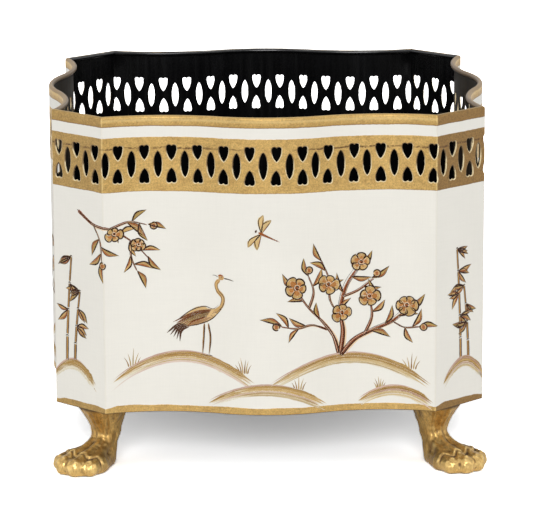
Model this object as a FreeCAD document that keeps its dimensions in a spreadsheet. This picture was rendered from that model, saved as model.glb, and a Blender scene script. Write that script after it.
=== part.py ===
import FreeCAD, Part
import math
import os

import Sketcher

# Footed planter with a pierced serpentine gallery, canted corners and four cast paw feet.
# Millimetres. +Z is up, the floor is z = 0, and the origin is below the middle of the planter.
# The front faces -Y.

SIZES = (
    ("wall_span", 330.0, "width over two opposite walls, measured on the chord through the folds"),
    ("cant_run", 39.2, "how far a canted corner runs along each wall"),
    ("recess_depth", 7.5, "how far a recess lies inside the chord"),
    ("bulge_rise", 7.5, "how far the wall's middle lies outside the chord"),
    ("sheet_gauge", 1.0, "thickness of the wall sheets"),
    ("body_base", 49.0, "from the floor to the bottom edge of the walls"),
    ("body_height", 229.4, "from the bottom edge of the walls to the top of the rim"),
    ("fit_gap", 0.2, "clearance between pieces that fit in or over each other"),
    ("bead_radius", 1.4, "radius of the rolled bead inside the top edge"),
    ("pierce_drop", 37.0, "from the top of the rim down to the middle of the pierced row"),
    ("pierce_pitch", 20.15, "wanted distance from one oval to the next around the planter"),
    ("heart_width", 7.0, "width of a heart"),
    ("heart_length", 11.1, "length of a heart from lobes to point"),
    ("heart_gap", 6.7, "between the points of two facing hearts"),
    ("eye_width", 5.7, "width of a pointed oval"),
    ("eye_length", 20.2, "length of a pointed oval"),
    ("pan_rise", 2.0, "from the bottom edge of the walls to the underside of the base pan"),
    ("pan_gauge", 1.0, "thickness of the base pan"),
    ("pan_flange", 12.0, "height of the base pan with its turned-up flange"),
    ("foot_inset", 27.6, "from the outside of a canted corner to the axis of its foot"),
    ("foot_reach", 50.5, "from the axis of a foot to the tips of its toes"),
    ("foot_heel", 5.0, "from the axis of a foot to the back of its paw"),
    ("foot_half_width", 20.8, "half the width of the paw"),
    ("foot_turn", 6.0, "degrees a foot is turned from the diagonal towards its front or back wall"),
    ("screw_radius", 3.0, "radius of a foot screw's shank"),
    ("screw_length", 24.0, "length of a foot screw under its head"),
    ("screw_head_radius", 5.5, "radius of a foot screw's head"),
    ("screw_head_height", 3.0, "height of a foot screw's head"),
    ("screw_play", 0.1, "radial clearance of a screw in the foot's hole"),
    ("hole_play", 0.5, "radial clearance of a screw in the base pan and the washer"),
    ("tap_overdepth", 3.0, "depth of the foot's hole past the end of its screw"),
    ("washer_side", 18.0, "side of a foot's square washer"),
    ("washer_gauge", 1.5, "thickness of a foot's washer"),
    ("overrun", 5.0, "how far cutting tools run past the metal"),
)

# Counts. The walls are bent facet by facet, one facet to each column of holes.
LOBE_FACETS = 3
EYE_FACETS = 3
CORNERS = 4

# From a fold to the middle of the wall's recess, as a share of half the chord between the folds
RECESS_PLACE_SHARE = 0.3402

# Where the first column of holes stands, as a share of the pitch from the left fold of the front
# wall. Ovals and pairs of hearts take turns, half a pitch apart.
ROW_START_SHARE = 0.125

# Corners of the bead's section, as shares of its radius: outward, then up
BEAD_OUTER_SHARES = ((0.5, -1.0), (1.0, 0.0), (0.5, 1.0))
BEAD_INNER_SHARES = ((-0.5, -1.0), (-1.0, 0.0), (-0.5, 1.0))

# Panels in order around the planter, anticlockwise seen from above, even ones are serpentine walls
FRONT, FRONT_RIGHT, RIGHT, BACK_RIGHT, BACK, BACK_LEFT, LEFT, FRONT_LEFT = range(8)
SHEETS = (
    ("front_wall_sheet", (FRONT_LEFT, FRONT, FRONT_RIGHT)),
    ("right_end_sheet", (RIGHT,)),
    ("back_wall_sheet", (BACK_RIGHT, BACK, BACK_LEFT)),
    ("left_end_sheet", (LEFT,)),
)
FOOT_NAMES = ("foot_front_right", "foot_back_right", "foot_back_left", "foot_front_left")

# Levels of a foot: height as a share of the foot's height, forward reach as a share of the reach,
# half width as a share of the paw's half width, heel as a share of the heel, and how far the
# outline has toes (1) or is a plain oval (0)
FOOT_LEVEL_SHARES = (
    (0.000, 0.945, 0.810, 0.600, 1.00),
    (0.039, 0.975, 0.880, 0.720, 1.00),
    (0.098, 1.000, 0.985, 0.860, 1.00),
    (0.176, 0.990, 0.985, 1.000, 1.00),
    (0.235, 0.935, 0.900, 1.150, 1.00),
    (0.278, 0.780, 0.700, 1.200, 0.85),
    (0.324, 0.560, 0.530, 1.300, 0.50),
    (0.392, 0.310, 0.475, 1.560, 0.10),
    (0.490, 0.238, 0.510, 1.950, 0.00),
    (0.627, 0.286, 0.600, 2.300, 0.00),
    (0.784, 0.376, 0.770, 2.800, 0.00),
    (0.902, 0.465, 0.900, 3.250, 0.00),
    (1.000, 0.507, 0.985, 3.700, 0.00),
)

# One side of the paw's outline from the middle of the front to the back of the heel. Each row is
# the forward and sideways share of a corner of the paw, and the angle of the same corner on the
# plain oval. Behind the axis the forward share is of the heel.
PAW_OUTLINE_SHARES = (
    (0.950, 0.000, 0.0),
    (0.995, 0.180, 14.0),
    (0.990, 0.380, 28.0),
    (0.910, 0.540, 42.0),
    (0.885, 0.740, 56.0),
    (0.720, 1.000, 72.0),
    (0.560, 0.920, 90.0),
    (0.330, 0.620, 108.0),
    (0.080, 0.440, 130.0),
    (-0.600, 0.300, 155.0),
    (-1.000, 0.000, 180.0),
)


def build_sizes(doc):
    """Put the driving sizes in a spreadsheet, one alias to a row."""
    sheet = doc.addObject("Spreadsheet::Sheet", "Sizes")
    for row, (alias, value, note) in enumerate(SIZES, start=1):
        sheet.set("A%d" % row, alias)
        sheet.set("B%d" % row, str(value))
        sheet.setAlias("B%d" % row, alias)
        sheet.set("C%d" % row, note)
    doc.recompute()
    return sheet


class Outline:
    """Plan of the planter: four serpentine walls of tangent arcs, joined by straight canted corners.

    The arcs are followed in facets, whose edges lie midway between the columns of holes.
    """

    def __init__(self, size):
        self.size = size
        self.half_span = size.wall_span / 2
        self.half_chord = self.half_span - size.cant_run
        self.stations = []
        self.panel_starts = []
        arcs = [self.panel_arcs(panel) for panel in range(8)]
        half_way = sum(edge.Length for edges in arcs[:4] for edge in edges)
        self.pitches_per_half = round(half_way / size.pierce_pitch)
        self.pitch = half_way / self.pitches_per_half
        start = 0.0
        for panel, edges in enumerate(arcs):
            length = sum(edge.Length for edge in edges)
            self.panel_starts.append(len(self.stations))
            self.stations.append((start, first_point(edges[0])))
            if panel % 2 == 0:
                self.stations.extend(self.facet_corners(edges, start, length))
            start += length
        self.length = start
        self.miters = self.find_miters()

    def panel_arcs(self, panel):
        """A wall's recess, bulge and recess as tangent arcs, or a canted corner as one line."""
        size = self.size
        fold = (self.half_chord, 0.0)
        if panel % 2:
            return [Part.LineSegment(self.place(panel, fold), self.place(panel + 1, (-fold[0], 0.0))).toShape()]
        recess_place = self.half_chord * RECESS_PLACE_SHARE
        recess_x = self.half_chord - recess_place
        recess_radius = (recess_place ** 2 + size.recess_depth ** 2) / (2 * size.recess_depth)
        recess_y = recess_radius - size.recess_depth
        swing = size.recess_depth + size.bulge_rise
        drop = recess_radius - swing
        bulge_radius = (recess_x ** 2 + drop ** 2 - recess_radius ** 2) / (2 * swing)
        bulge_y = size.bulge_rise - bulge_radius
        lean = bulge_radius / (recess_radius + bulge_radius)
        inflection = (recess_x * lean, bulge_y + (recess_y - bulge_y) * lean)
        recess = (recess_x, -size.recess_depth)
        right = [self.place(panel, p) for p in (inflection, recess, fold)]
        left = [self.place(panel, (-p[0], p[1])) for p in (fold, recess, inflection)]
        crest = self.place(panel, (0.0, size.bulge_rise))
        return [
            Part.Arc(left[0], left[1], left[2]).toShape(),
            Part.Arc(left[2], crest, right[0]).toShape(),
            Part.Arc(right[0], right[1], right[2]).toShape(),
        ]

    def place(self, panel, point):
        """A point of a wall's own frame, x along the wall and y outward, put on its side of the planter."""
        facing = math.radians(90 * (panel // 2) - 90)
        across = self.half_span + point[1]
        x = across * math.cos(facing) - point[0] * math.sin(facing)
        y = across * math.sin(facing) + point[0] * math.cos(facing)
        return FreeCAD.Vector(x, y, 0)

    def facet_corners(self, edges, start, length):
        """Distance and place of the facet edges of one wall, midway between its columns of holes."""
        step = self.pitch / 2
        offset = (ROW_START_SHARE * self.pitch + step / 2 - start) % step
        corners = []
        while offset < length:
            corners.append((start + offset, along(edges, offset)))
            offset += step
        return corners

    def find_miters(self):
        """How far each corner moves for a unit of outward offset, so that facets move squarely."""
        points = [point for distance, point in self.stations]
        count = len(points)
        normals = [outward(points[i], points[(i + 1) % count]) for i in range(count)]
        miters = []
        for i in range(count):
            before = normals[i - 1]
            after = normals[i]
            miters.append((before + after) * (1 / (1 + before.dot(after))))
        return miters

    def corner(self, index, offset, level):
        """One corner of the outline, moved outward by offset and up to level."""
        index %= len(self.stations)
        point = self.stations[index][1] + self.miters[index] * offset
        return FreeCAD.Vector(point.x, point.y, level)

    def ring(self, offset, level):
        """The whole closed outline as a wire."""
        corners = [self.corner(i, offset, level) for i in range(len(self.stations))]
        return Part.makePolygon(corners + corners[:1])

    def strip(self, panels, offset, level):
        """Corners along a run of panels."""
        first = self.panel_starts[panels[0]]
        last = self.panel_starts[(panels[-1] + 1) % 8]
        if last <= first:
            last += len(self.stations)
        return [self.corner(i, offset, level) for i in range(first, last + 1)]

    def strip_face(self, panels, outer, inner, level):
        """The plan of a sheet that covers the given panels, mitred at both ends."""
        corners = self.strip(panels, outer, level) + self.strip(panels, inner, level)[::-1]
        return Part.Face(Part.makePolygon(corners + corners[:1]))

    def column(self, distance):
        """Middle and direction of the facet at a distance around the planter."""
        distance %= self.length
        count = len(self.stations)
        index = max(i for i in range(count) if self.stations[i][0] <= distance)
        here, start = self.stations[index]
        there = self.stations[index + 1][0] if index + 1 < count else self.length
        end = self.stations[(index + 1) % count][1]
        return start + (end - start) * ((distance - here) / (there - here)), end - start


def first_point(edge):
    return edge.valueAt(edge.FirstParameter)


def outward(start, end):
    """Unit vector square to a facet, away from the planter's middle."""
    run = end - start
    return FreeCAD.Vector(run.y, -run.x, 0) * (1 / run.Length)


def along(edges, distance):
    """The point at a distance along a list of edges."""
    for edge in edges[:-1]:
        if distance <= edge.Length:
            return edge.valueAt(edge.getParameterByLength(distance))
        distance -= edge.Length
    return edges[-1].valueAt(edges[-1].getParameterByLength(distance))


def heart_points(size, up):
    """Outline of a heart about the middle of the row: lobes away from the middle, point towards it."""
    lobe = size.heart_width / 4
    tip = size.heart_gap / 2
    centre = tip + size.heart_length - lobe
    points = [(0.0, centre)]
    for i in range(1, LOBE_FACETS + 1):
        angle = math.pi * (1 - i / LOBE_FACETS)
        points.append((lobe + lobe * math.cos(angle), centre + lobe * math.sin(angle)))
    points.append((0.0, tip))
    for i in range(LOBE_FACETS):
        angle = math.pi * (1 - i / LOBE_FACETS)
        points.append((lobe * math.cos(angle) - lobe, centre + lobe * math.sin(angle)))
    return [(x, z * up) for x, z in points]


def eye_points(size):
    """Outline of a pointed oval of two arcs about the middle of the row."""
    half_width = size.eye_width / 2
    half_length = size.eye_length / 2
    radius = (half_width ** 2 + half_length ** 2) / (2 * half_width)
    sweep = math.asin(half_length / radius)
    right = []
    for i in range(EYE_FACETS):
        angle = sweep * (2 * i / EYE_FACETS - 1)
        right.append((half_width - radius + radius * math.cos(angle), radius * math.sin(angle)))
    return right + [(-x, -z) for x, z in right]


def prism(size, points):
    """A hole's outline pushed square through a sheet whose outside is the plane y = 0."""
    corners = [FreeCAD.Vector(x, -size.overrun, z) for x, z in points]
    depth = size.sheet_gauge + 2 * size.overrun
    return Part.Face(Part.makePolygon(corners + corners[:1])).extrude(FreeCAD.Vector(0, depth, 0))


def piercing_tools(size, outline):
    """Prisms of every hole, each square to the facet where it stands, as (place, prism)."""
    hearts = (prism(size, heart_points(size, 1)), prism(size, heart_points(size, -1)))
    ovals = (prism(size, eye_points(size)),)
    rise = FreeCAD.Vector(0, 0, size.body_base + size.body_height - size.pierce_drop)
    tools = []
    for i in range(4 * outline.pitches_per_half):
        point, run = outline.column((ROW_START_SHARE + i / 2) * outline.pitch)
        turn = FreeCAD.Rotation(FreeCAD.Vector(0, 0, 1), math.degrees(math.atan2(run.y, run.x)))
        for pattern in (hearts if i % 2 else ovals):
            tool = pattern.copy()
            tool.Placement = FreeCAD.Placement(point + rise, turn)
            tools.append((point, tool))
    return tools


def feature(doc, name, shape):
    """A document object that holds a shape worked out here from the sheet's sizes."""
    obj = doc.addObject("Part::Feature", name)
    obj.Shape = shape
    return obj


def extrusion(doc, name, outline_shape, length):
    """A solid as high as the expression says, over a flat face or closed wire."""
    base = feature(doc, name + "_outline", outline_shape)
    obj = doc.addObject("Part::Extrusion", name)
    obj.Base = base
    obj.DirMode = "Custom"
    obj.Dir = FreeCAD.Vector(0, 0, 1)
    obj.Solid = True
    obj.setExpression("LengthFwd", length)
    return obj


def loft(doc, name, wires, ruled):
    """A solid lofted through closed wires."""
    sections = [feature(doc, "%s_level_%d" % (name, i), wire) for i, wire in enumerate(wires)]
    obj = doc.addObject("Part::Loft", name)
    obj.Sections = sections
    obj.Solid = True
    obj.Ruled = ruled
    return obj


def cut(doc, name, base, tool):
    """The base less the tool."""
    obj = doc.addObject("Part::Cut", name)
    obj.Base = base
    obj.Tool = tool
    obj.Label = name
    return obj


def build_sheets(doc, size, outline):
    """Pierced wall sheets: front and back each with both canted corners, and the two ends."""
    tools = piercing_tools(size, outline)
    nodes = []
    for name, panels in SHEETS:
        face = outline.strip_face(panels, 0.0, -size.sheet_gauge, size.body_base)
        blank = extrusion(doc, name + "_blank", face, "Sizes.body_height")
        path = Part.makePolygon(outline.strip(panels, 0.0, 0.0))
        near = [tool for point, tool in tools if path.distToShape(Part.Vertex(point))[0] < size.heart_width]
        piercing = feature(doc, name + "_piercing", near[0].multiFuse(near[1:]))
        nodes.append(cut(doc, name, blank, piercing))
    return nodes


def build_rim(doc, size, outline):
    """Bead rolled inside the top edge of the sheets."""
    centre = -size.sheet_gauge - size.fit_gap - size.bead_radius
    level = size.body_base + size.body_height - size.bead_radius
    sides = []
    for name, shares in (("bead_outer", BEAD_OUTER_SHARES), ("bead_inner", BEAD_INNER_SHARES)):
        rings = [outline.ring(centre + out * size.bead_radius, level + up * size.bead_radius) for out, up in shares]
        sides.append(loft(doc, name, rings, True))
    return cut(doc, "rim_bead", sides[0], sides[1])


def foot_places(size, outline):
    """Angle and place of each foot's axis, on the middle of its canted corner."""
    middle = math.sqrt(2) * (outline.half_span - size.cant_run / 2)
    distance = middle - size.foot_inset
    places = []
    for i in range(CORNERS):
        angle = 90 * i - 45
        out = math.radians(angle)
        places.append((angle, FreeCAD.Vector(distance * math.cos(out), distance * math.sin(out), 0)))
    return places


def build_pan(doc, size, outline):
    """Base pan: a bottom sheet with a flange turned up inside the walls."""
    floor = size.body_base + size.pan_rise
    outer = -size.sheet_gauge - size.fit_gap
    blank = extrusion(doc, "pan_blank", outline.ring(outer, floor), "Sizes.pan_flange")
    hollow_ring = outline.ring(outer - size.pan_gauge, floor + size.pan_gauge)
    hollow = extrusion(doc, "pan_hollow", hollow_ring, "Sizes.pan_flange")
    tray = cut(doc, "pan_tray", blank, hollow)
    for i, (angle, place) in enumerate(foot_places(size, outline)):
        hole = doc.addObject("Part::Cylinder", "pan_hole_%d" % i)
        hole.setExpression("Radius", "Sizes.screw_radius + Sizes.hole_play")
        hole.setExpression("Height", "Sizes.pan_gauge + 2 * Sizes.overrun")
        hole.Placement.Base = place + FreeCAD.Vector(0, 0, floor - size.overrun)
        last = i == CORNERS - 1
        tray = cut(doc, "base_pan" if last else "pan_drilled_%d" % i, tray, hole)
    return tray


def paw_ring(level, reach, width, heel, toes):
    """Corners of one level of a foot: four toes in front and a narrow heel, or nearer a plain oval."""
    half = []
    for ahead, aside, angle in PAW_OUTLINE_SHARES:
        turn = math.radians(angle)
        paw_x = ahead * (reach if ahead > 0 else heel)
        oval_x = math.cos(turn) * (reach if angle < 90 else heel)
        x = toes * paw_x + (1 - toes) * oval_x
        y = toes * aside + (1 - toes) * math.sin(turn)
        half.append(FreeCAD.Vector(x, y * width, level))
    other = [FreeCAD.Vector(p.x, -p.y, p.z) for p in half[1:-1]]
    return half + other[::-1]


def faceted_loft(rings):
    """A closed solid over levels with equal numbers of corners, in flat triangles."""
    faces = [flat_face(rings[0]), flat_face(rings[-1])]
    for low, high in zip(rings, rings[1:]):
        for i in range(len(low)):
            after = (i + 1) % len(low)
            faces.append(flat_face((low[i], low[after], high[after])))
            faces.append(flat_face((low[i], high[after], high[i])))
    return Part.makeSolid(Part.makeShell(faces))


def flat_face(points):
    points = list(points)
    return Part.Face(Part.makePolygon(points + points[:1]))


def build_feet(doc, size, outline):
    """Four cast paw feet from one pattern, each with a blind hole for its screw."""
    height = size.body_base + size.pan_rise
    rings = []
    for level, reach, width, heel, toes in FOOT_LEVEL_SHARES:
        rings.append(paw_ring(
            level * height, reach * size.foot_reach, width * size.foot_half_width,
            heel * size.foot_heel, toes))
    casting = feature(doc, "foot_casting", faceted_loft(rings))
    hole = doc.addObject("Part::Cylinder", "foot_hole")
    hole.setExpression("Radius", "Sizes.screw_radius + Sizes.screw_play")
    hole.setExpression("Height", "Sizes.screw_length + Sizes.tap_overdepth + Sizes.overrun")
    depth = size.screw_length + size.tap_overdepth
    hole.Placement.Base = FreeCAD.Vector(0, 0, height - depth)
    pattern = cut(doc, "foot_pattern", casting, hole)
    doc.recompute()
    nodes = []
    for i, (angle, place) in enumerate(foot_places(size, outline)):
        foot = feature(doc, FOOT_NAMES[i], pattern.Shape)
        foot.Label = FOOT_NAMES[i]
        angle += size.foot_turn if i % 2 else -size.foot_turn
        foot.Placement = FreeCAD.Placement(place, FreeCAD.Rotation(FreeCAD.Vector(0, 0, 1), angle))
        nodes.append(foot)
    return nodes


def origin_plane(body, role):
    """One of a body's own origin planes."""
    return [item for item in body.Origin.OriginFeatures if item.Role == role][0]


def build_screw(doc, size):
    """Foot screw: a revolved profile with a cheese head, standing on z = 0 with its shank below."""
    body = doc.addObject("PartDesign::Body", "screw_pattern")
    sketch = body.newObject("Sketcher::SketchObject", "screw_profile")
    sketch.AttachmentSupport = [(origin_plane(body, "XZ_Plane"), "")]
    sketch.MapMode = "FlatFace"
    corners = (
        (0.0, -size.screw_length),
        (size.screw_radius, -size.screw_length),
        (size.screw_radius, 0.0),
        (size.screw_head_radius, 0.0),
        (size.screw_head_radius, size.screw_head_height),
        (0.0, size.screw_head_height),
    )
    points = [FreeCAD.Vector(x, y, 0) for x, y in corners]
    count = len(points)
    for i in range(count):
        sketch.addGeometry(Part.LineSegment(points[i], points[(i + 1) % count]), False)
    for i in range(count):
        sketch.addConstraint(Sketcher.Constraint("Coincident", i, 2, (i + 1) % count, 1))
    for i in (0, 2, 4):
        sketch.addConstraint(Sketcher.Constraint("Horizontal", i))
    for i in (1, 3):
        sketch.addConstraint(Sketcher.Constraint("Vertical", i))
    sketch.addConstraint(Sketcher.Constraint("PointOnObject", 0, 1, -2))
    sketch.addConstraint(Sketcher.Constraint("PointOnObject", 5, 1, -2))
    sketch.addConstraint(Sketcher.Constraint("PointOnObject", 2, 1, -1))
    bindings = (
        ("DistanceX", (0, 1, 0, 2), size.screw_radius, "Sizes.screw_radius"),
        ("DistanceY", (1, 1, 1, 2), size.screw_length, "Sizes.screw_length"),
        ("DistanceX", (-1, 1, 2, 2), size.screw_head_radius, "Sizes.screw_head_radius"),
        ("DistanceY", (3, 1, 3, 2), size.screw_head_height, "Sizes.screw_head_height"),
    )
    for kind, ends, value, source in bindings:
        index = sketch.addConstraint(Sketcher.Constraint(kind, *ends, value))
        sketch.setExpression("Constraints[%d]" % index, source)
    turned = body.newObject("PartDesign::Revolution", "screw_turned")
    turned.Profile = sketch
    turned.ReferenceAxis = (sketch, ["V_Axis"])
    turned.Angle = 360
    return body


def build_washer(doc):
    """Square plate washer, standing on z = 0."""
    plate = doc.addObject("Part::Box", "washer_plate")
    plate.setExpression("Length", "Sizes.washer_side")
    plate.setExpression("Width", "Sizes.washer_side")
    plate.setExpression("Height", "Sizes.washer_gauge")
    plate.setExpression("Placement.Base.x", "-Sizes.washer_side / 2")
    plate.setExpression("Placement.Base.y", "-Sizes.washer_side / 2")
    hole = doc.addObject("Part::Cylinder", "washer_hole")
    hole.setExpression("Radius", "Sizes.screw_radius + Sizes.hole_play")
    hole.setExpression("Height", "Sizes.washer_gauge")
    return cut(doc, "washer_pattern", plate, hole)


def build_fixings(doc, size, outline):
    """The four foot screws and their washers, each kind as one group of solids inside the pan."""
    floor = size.body_base + size.pan_rise + size.pan_gauge
    kinds = (
        ("foot_washers", build_washer(doc), floor),
        ("foot_screws", build_screw(doc, size), floor + size.washer_gauge),
    )
    doc.recompute()
    nodes = []
    for name, pattern, level in kinds:
        copies = []
        for angle, place in foot_places(size, outline):
            copy = pattern.Shape.copy()
            turn = FreeCAD.Rotation(FreeCAD.Vector(0, 0, 1), angle)
            copy.Placement = FreeCAD.Placement(FreeCAD.Vector(place.x, place.y, level), turn)
            copies.append(copy)
        group = feature(doc, name, Part.makeCompound(copies))
        group.Label = name
        nodes.append(group)
    return nodes


def check(doc, nodes):
    """Stop if any object failed, or a sub-part is empty or not a valid solid."""
    for obj in doc.Objects:
        if "Invalid" in obj.State or "Error" in obj.State:
            raise RuntimeError("%s failed: %s" % (obj.Name, obj.State))
    for node in nodes:
        if node.Shape.isNull() or not node.Shape.isValid() or not node.Shape.Solids:
            raise RuntimeError("%s has no valid solid" % node.Label)


def main():
    doc = FreeCAD.newDocument("planter")
    size = build_sizes(doc)
    outline = Outline(size)
    nodes = build_sheets(doc, size, outline)
    nodes.append(build_rim(doc, size, outline))
    nodes.append(build_pan(doc, size, outline))
    nodes.extend(build_feet(doc, size, outline))
    nodes.extend(build_fixings(doc, size, outline))
    doc.recompute()
    check(doc, nodes)
    os.makedirs("parts", exist_ok=True)
    for node in nodes:
        node.Shape.exportStep("parts/%s.step" % node.Label)
        print(node.Label, len(node.Shape.Solids), round(node.Shape.Volume))


main()
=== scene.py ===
import itertools
import math
import random

import bpy
import numpy as np
from mathutils import Matrix, Vector, geometry, noise


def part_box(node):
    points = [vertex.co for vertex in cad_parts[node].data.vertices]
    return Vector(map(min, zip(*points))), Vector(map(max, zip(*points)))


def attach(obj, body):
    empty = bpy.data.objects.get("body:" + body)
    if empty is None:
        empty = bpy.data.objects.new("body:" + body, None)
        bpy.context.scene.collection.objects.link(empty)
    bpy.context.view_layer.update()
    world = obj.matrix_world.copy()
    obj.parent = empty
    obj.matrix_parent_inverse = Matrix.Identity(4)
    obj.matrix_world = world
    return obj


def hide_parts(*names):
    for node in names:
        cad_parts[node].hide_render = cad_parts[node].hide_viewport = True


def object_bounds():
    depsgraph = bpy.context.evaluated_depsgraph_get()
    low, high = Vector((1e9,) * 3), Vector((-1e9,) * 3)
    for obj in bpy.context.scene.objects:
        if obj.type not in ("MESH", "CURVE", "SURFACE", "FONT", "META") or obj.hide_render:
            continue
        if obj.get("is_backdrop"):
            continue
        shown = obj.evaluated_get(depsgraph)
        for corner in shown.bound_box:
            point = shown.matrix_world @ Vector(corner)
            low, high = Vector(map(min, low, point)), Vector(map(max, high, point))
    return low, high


# Footed planter: pierced serpentine walls of painted sheet metal on four cast paw feet.
# Lengths are in millimetres unless a comment says metres, and MM turns them into Blender's metres.
# A place on the walls is given by its distance around the planter from the front-left fold,
# anticlockwise seen from above, its height over the body's bottom edge, and its depth, which is
# measured square to the wall and is negative inside the outer face.

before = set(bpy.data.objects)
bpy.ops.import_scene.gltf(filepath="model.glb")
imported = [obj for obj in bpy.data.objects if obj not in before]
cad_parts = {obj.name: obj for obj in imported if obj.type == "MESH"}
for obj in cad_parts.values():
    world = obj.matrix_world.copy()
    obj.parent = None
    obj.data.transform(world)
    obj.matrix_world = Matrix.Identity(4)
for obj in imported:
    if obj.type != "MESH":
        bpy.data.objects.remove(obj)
cad_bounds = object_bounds()

MM = 0.001

# Plan of the walls
HALF_SPAN = 165.0
CANT_RUN = 39.2
RECESS_PLACE = 42.8
RECESS_DEPTH = 7.5
BULGE_RISE = 7.5
FOLD_RADIUS = 1.3
SHEET = 1.0
PITCHES = 62
ROW_START_SHARE = 0.125

# The body's bottom edge over the floor, then heights over that edge, and the scribed line's over
# the middle of the pierced row
BODY_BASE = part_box("front_wall_sheet")[0].z / MM
BODY_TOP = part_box("front_wall_sheet")[1].z / MM - BODY_BASE
ROW_LEVEL = BODY_TOP - 37.0
RIM_PAINT = BODY_TOP - 8.0
BAND_TOP = BODY_TOP - 16.2
BAND_BOTTOM = BODY_TOP - 57.8
FOOT_BAND = 5.3
FOOT_BAND_DIP = 1.7
SCRIBE_RISE = 12.4

# Pierced row, its holes a little narrower behind, and the zone of the sheet's mesh that holds it
HEART_WIDTH = 7.4
HEART_LENGTH = 11.3
HEART_GAP = 6.5
EYE_WIDTH = 5.9
EYE_LENGTH = 20.2
BEVEL = 0.65
BEVEL_SINK = 0.35
BACK_NARROW = 0.94
CELL_STEPS = 6
ZONE_HALF = 16.6
ZONE_LOW = ROW_LEVEL - ZONE_HALF
ZONE_ROWS = 9

# Rolled top edge, and the turn over it at which a pale highlight line is painted on the black
ROLL_RADIUS = 2.0
ROLL_TURN = 250.0
HIGHLIGHT_TURN = 128.0

# Panels are counted from the front wall, anticlockwise seen from above, with the corners between
SHEET_PANELS = {
    "front_wall_sheet": (7, 0, 1),
    "right_end_sheet": (2,),
    "back_wall_sheet": (3, 4, 5),
    "left_end_sheet": (6,),
}
# Places of the sheets' materials in their list
PAINT_SLOT = 0
CUT_SLOT = 1
BLACK_SLOT = 2

# Camera: lens in millimetres, angles in radians, place in metres
CAMERA_LENS = 225.2
CAMERA_YAW = 0.0161
CAMERA_PITCH = 0.2173
CAMERA_ROLL = -0.0042
CAMERA_PLACE = Vector((-0.0422, -2.6237, 0.7075))
# Floor: half its width and its level in metres, its share of white for plain light, for mirrored
# light and for the camera, and its glow for the camera
FLOOR_REACH = 30.0
FLOOR_LEVEL = -0.0004
FLOOR_COLOUR = 0.92
FLOOR_MIRRORED = 1.3
FLOOR_SEEN = 3.0
FLOOR_GLOW = 0.16
WORLD_STRENGTH = 0.4
# Distant lights: name, direction they shine in, power, and width in degrees
SUNS = (
    ("key", (0.04, 1.0, -0.38), 1.32, 26.0),
    ("left", (1.0, 0.35, -0.35), 0.56, 60.0),
    ("right", (-1.0, 0.35, -0.35), 0.56, 60.0),
    ("top", (-0.05, 0.15, -1.0), 0.35, 50.0),
)


def srgb(red, green, blue):
    """A colour written as display values from 0 to 255, as a linear RGBA tuple."""
    def linear(value):
        share = value / 255
        return share / 12.92 if share <= 0.04045 else ((share + 0.055) / 1.055) ** 2.4
    return (linear(red), linear(green), linear(blue), 1.0)


IVORY = srgb(237, 234, 225)
GOLD = srgb(197, 161, 94)
GOLD_DARK = srgb(146, 110, 58)
GOLD_LIGHT = srgb(228, 200, 136)
CUT_EDGE = srgb(246, 228, 184)
BLACK = srgb(8, 8, 9)
INK = srgb(50, 25, 12)
RUST = srgb(150, 82, 42)
TAN = srgb(196, 160, 102)
MAUVE = srgb(186, 146, 128)
AMBER = srgb(236, 176, 116)
OLIVE = srgb(178, 148, 88)


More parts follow.
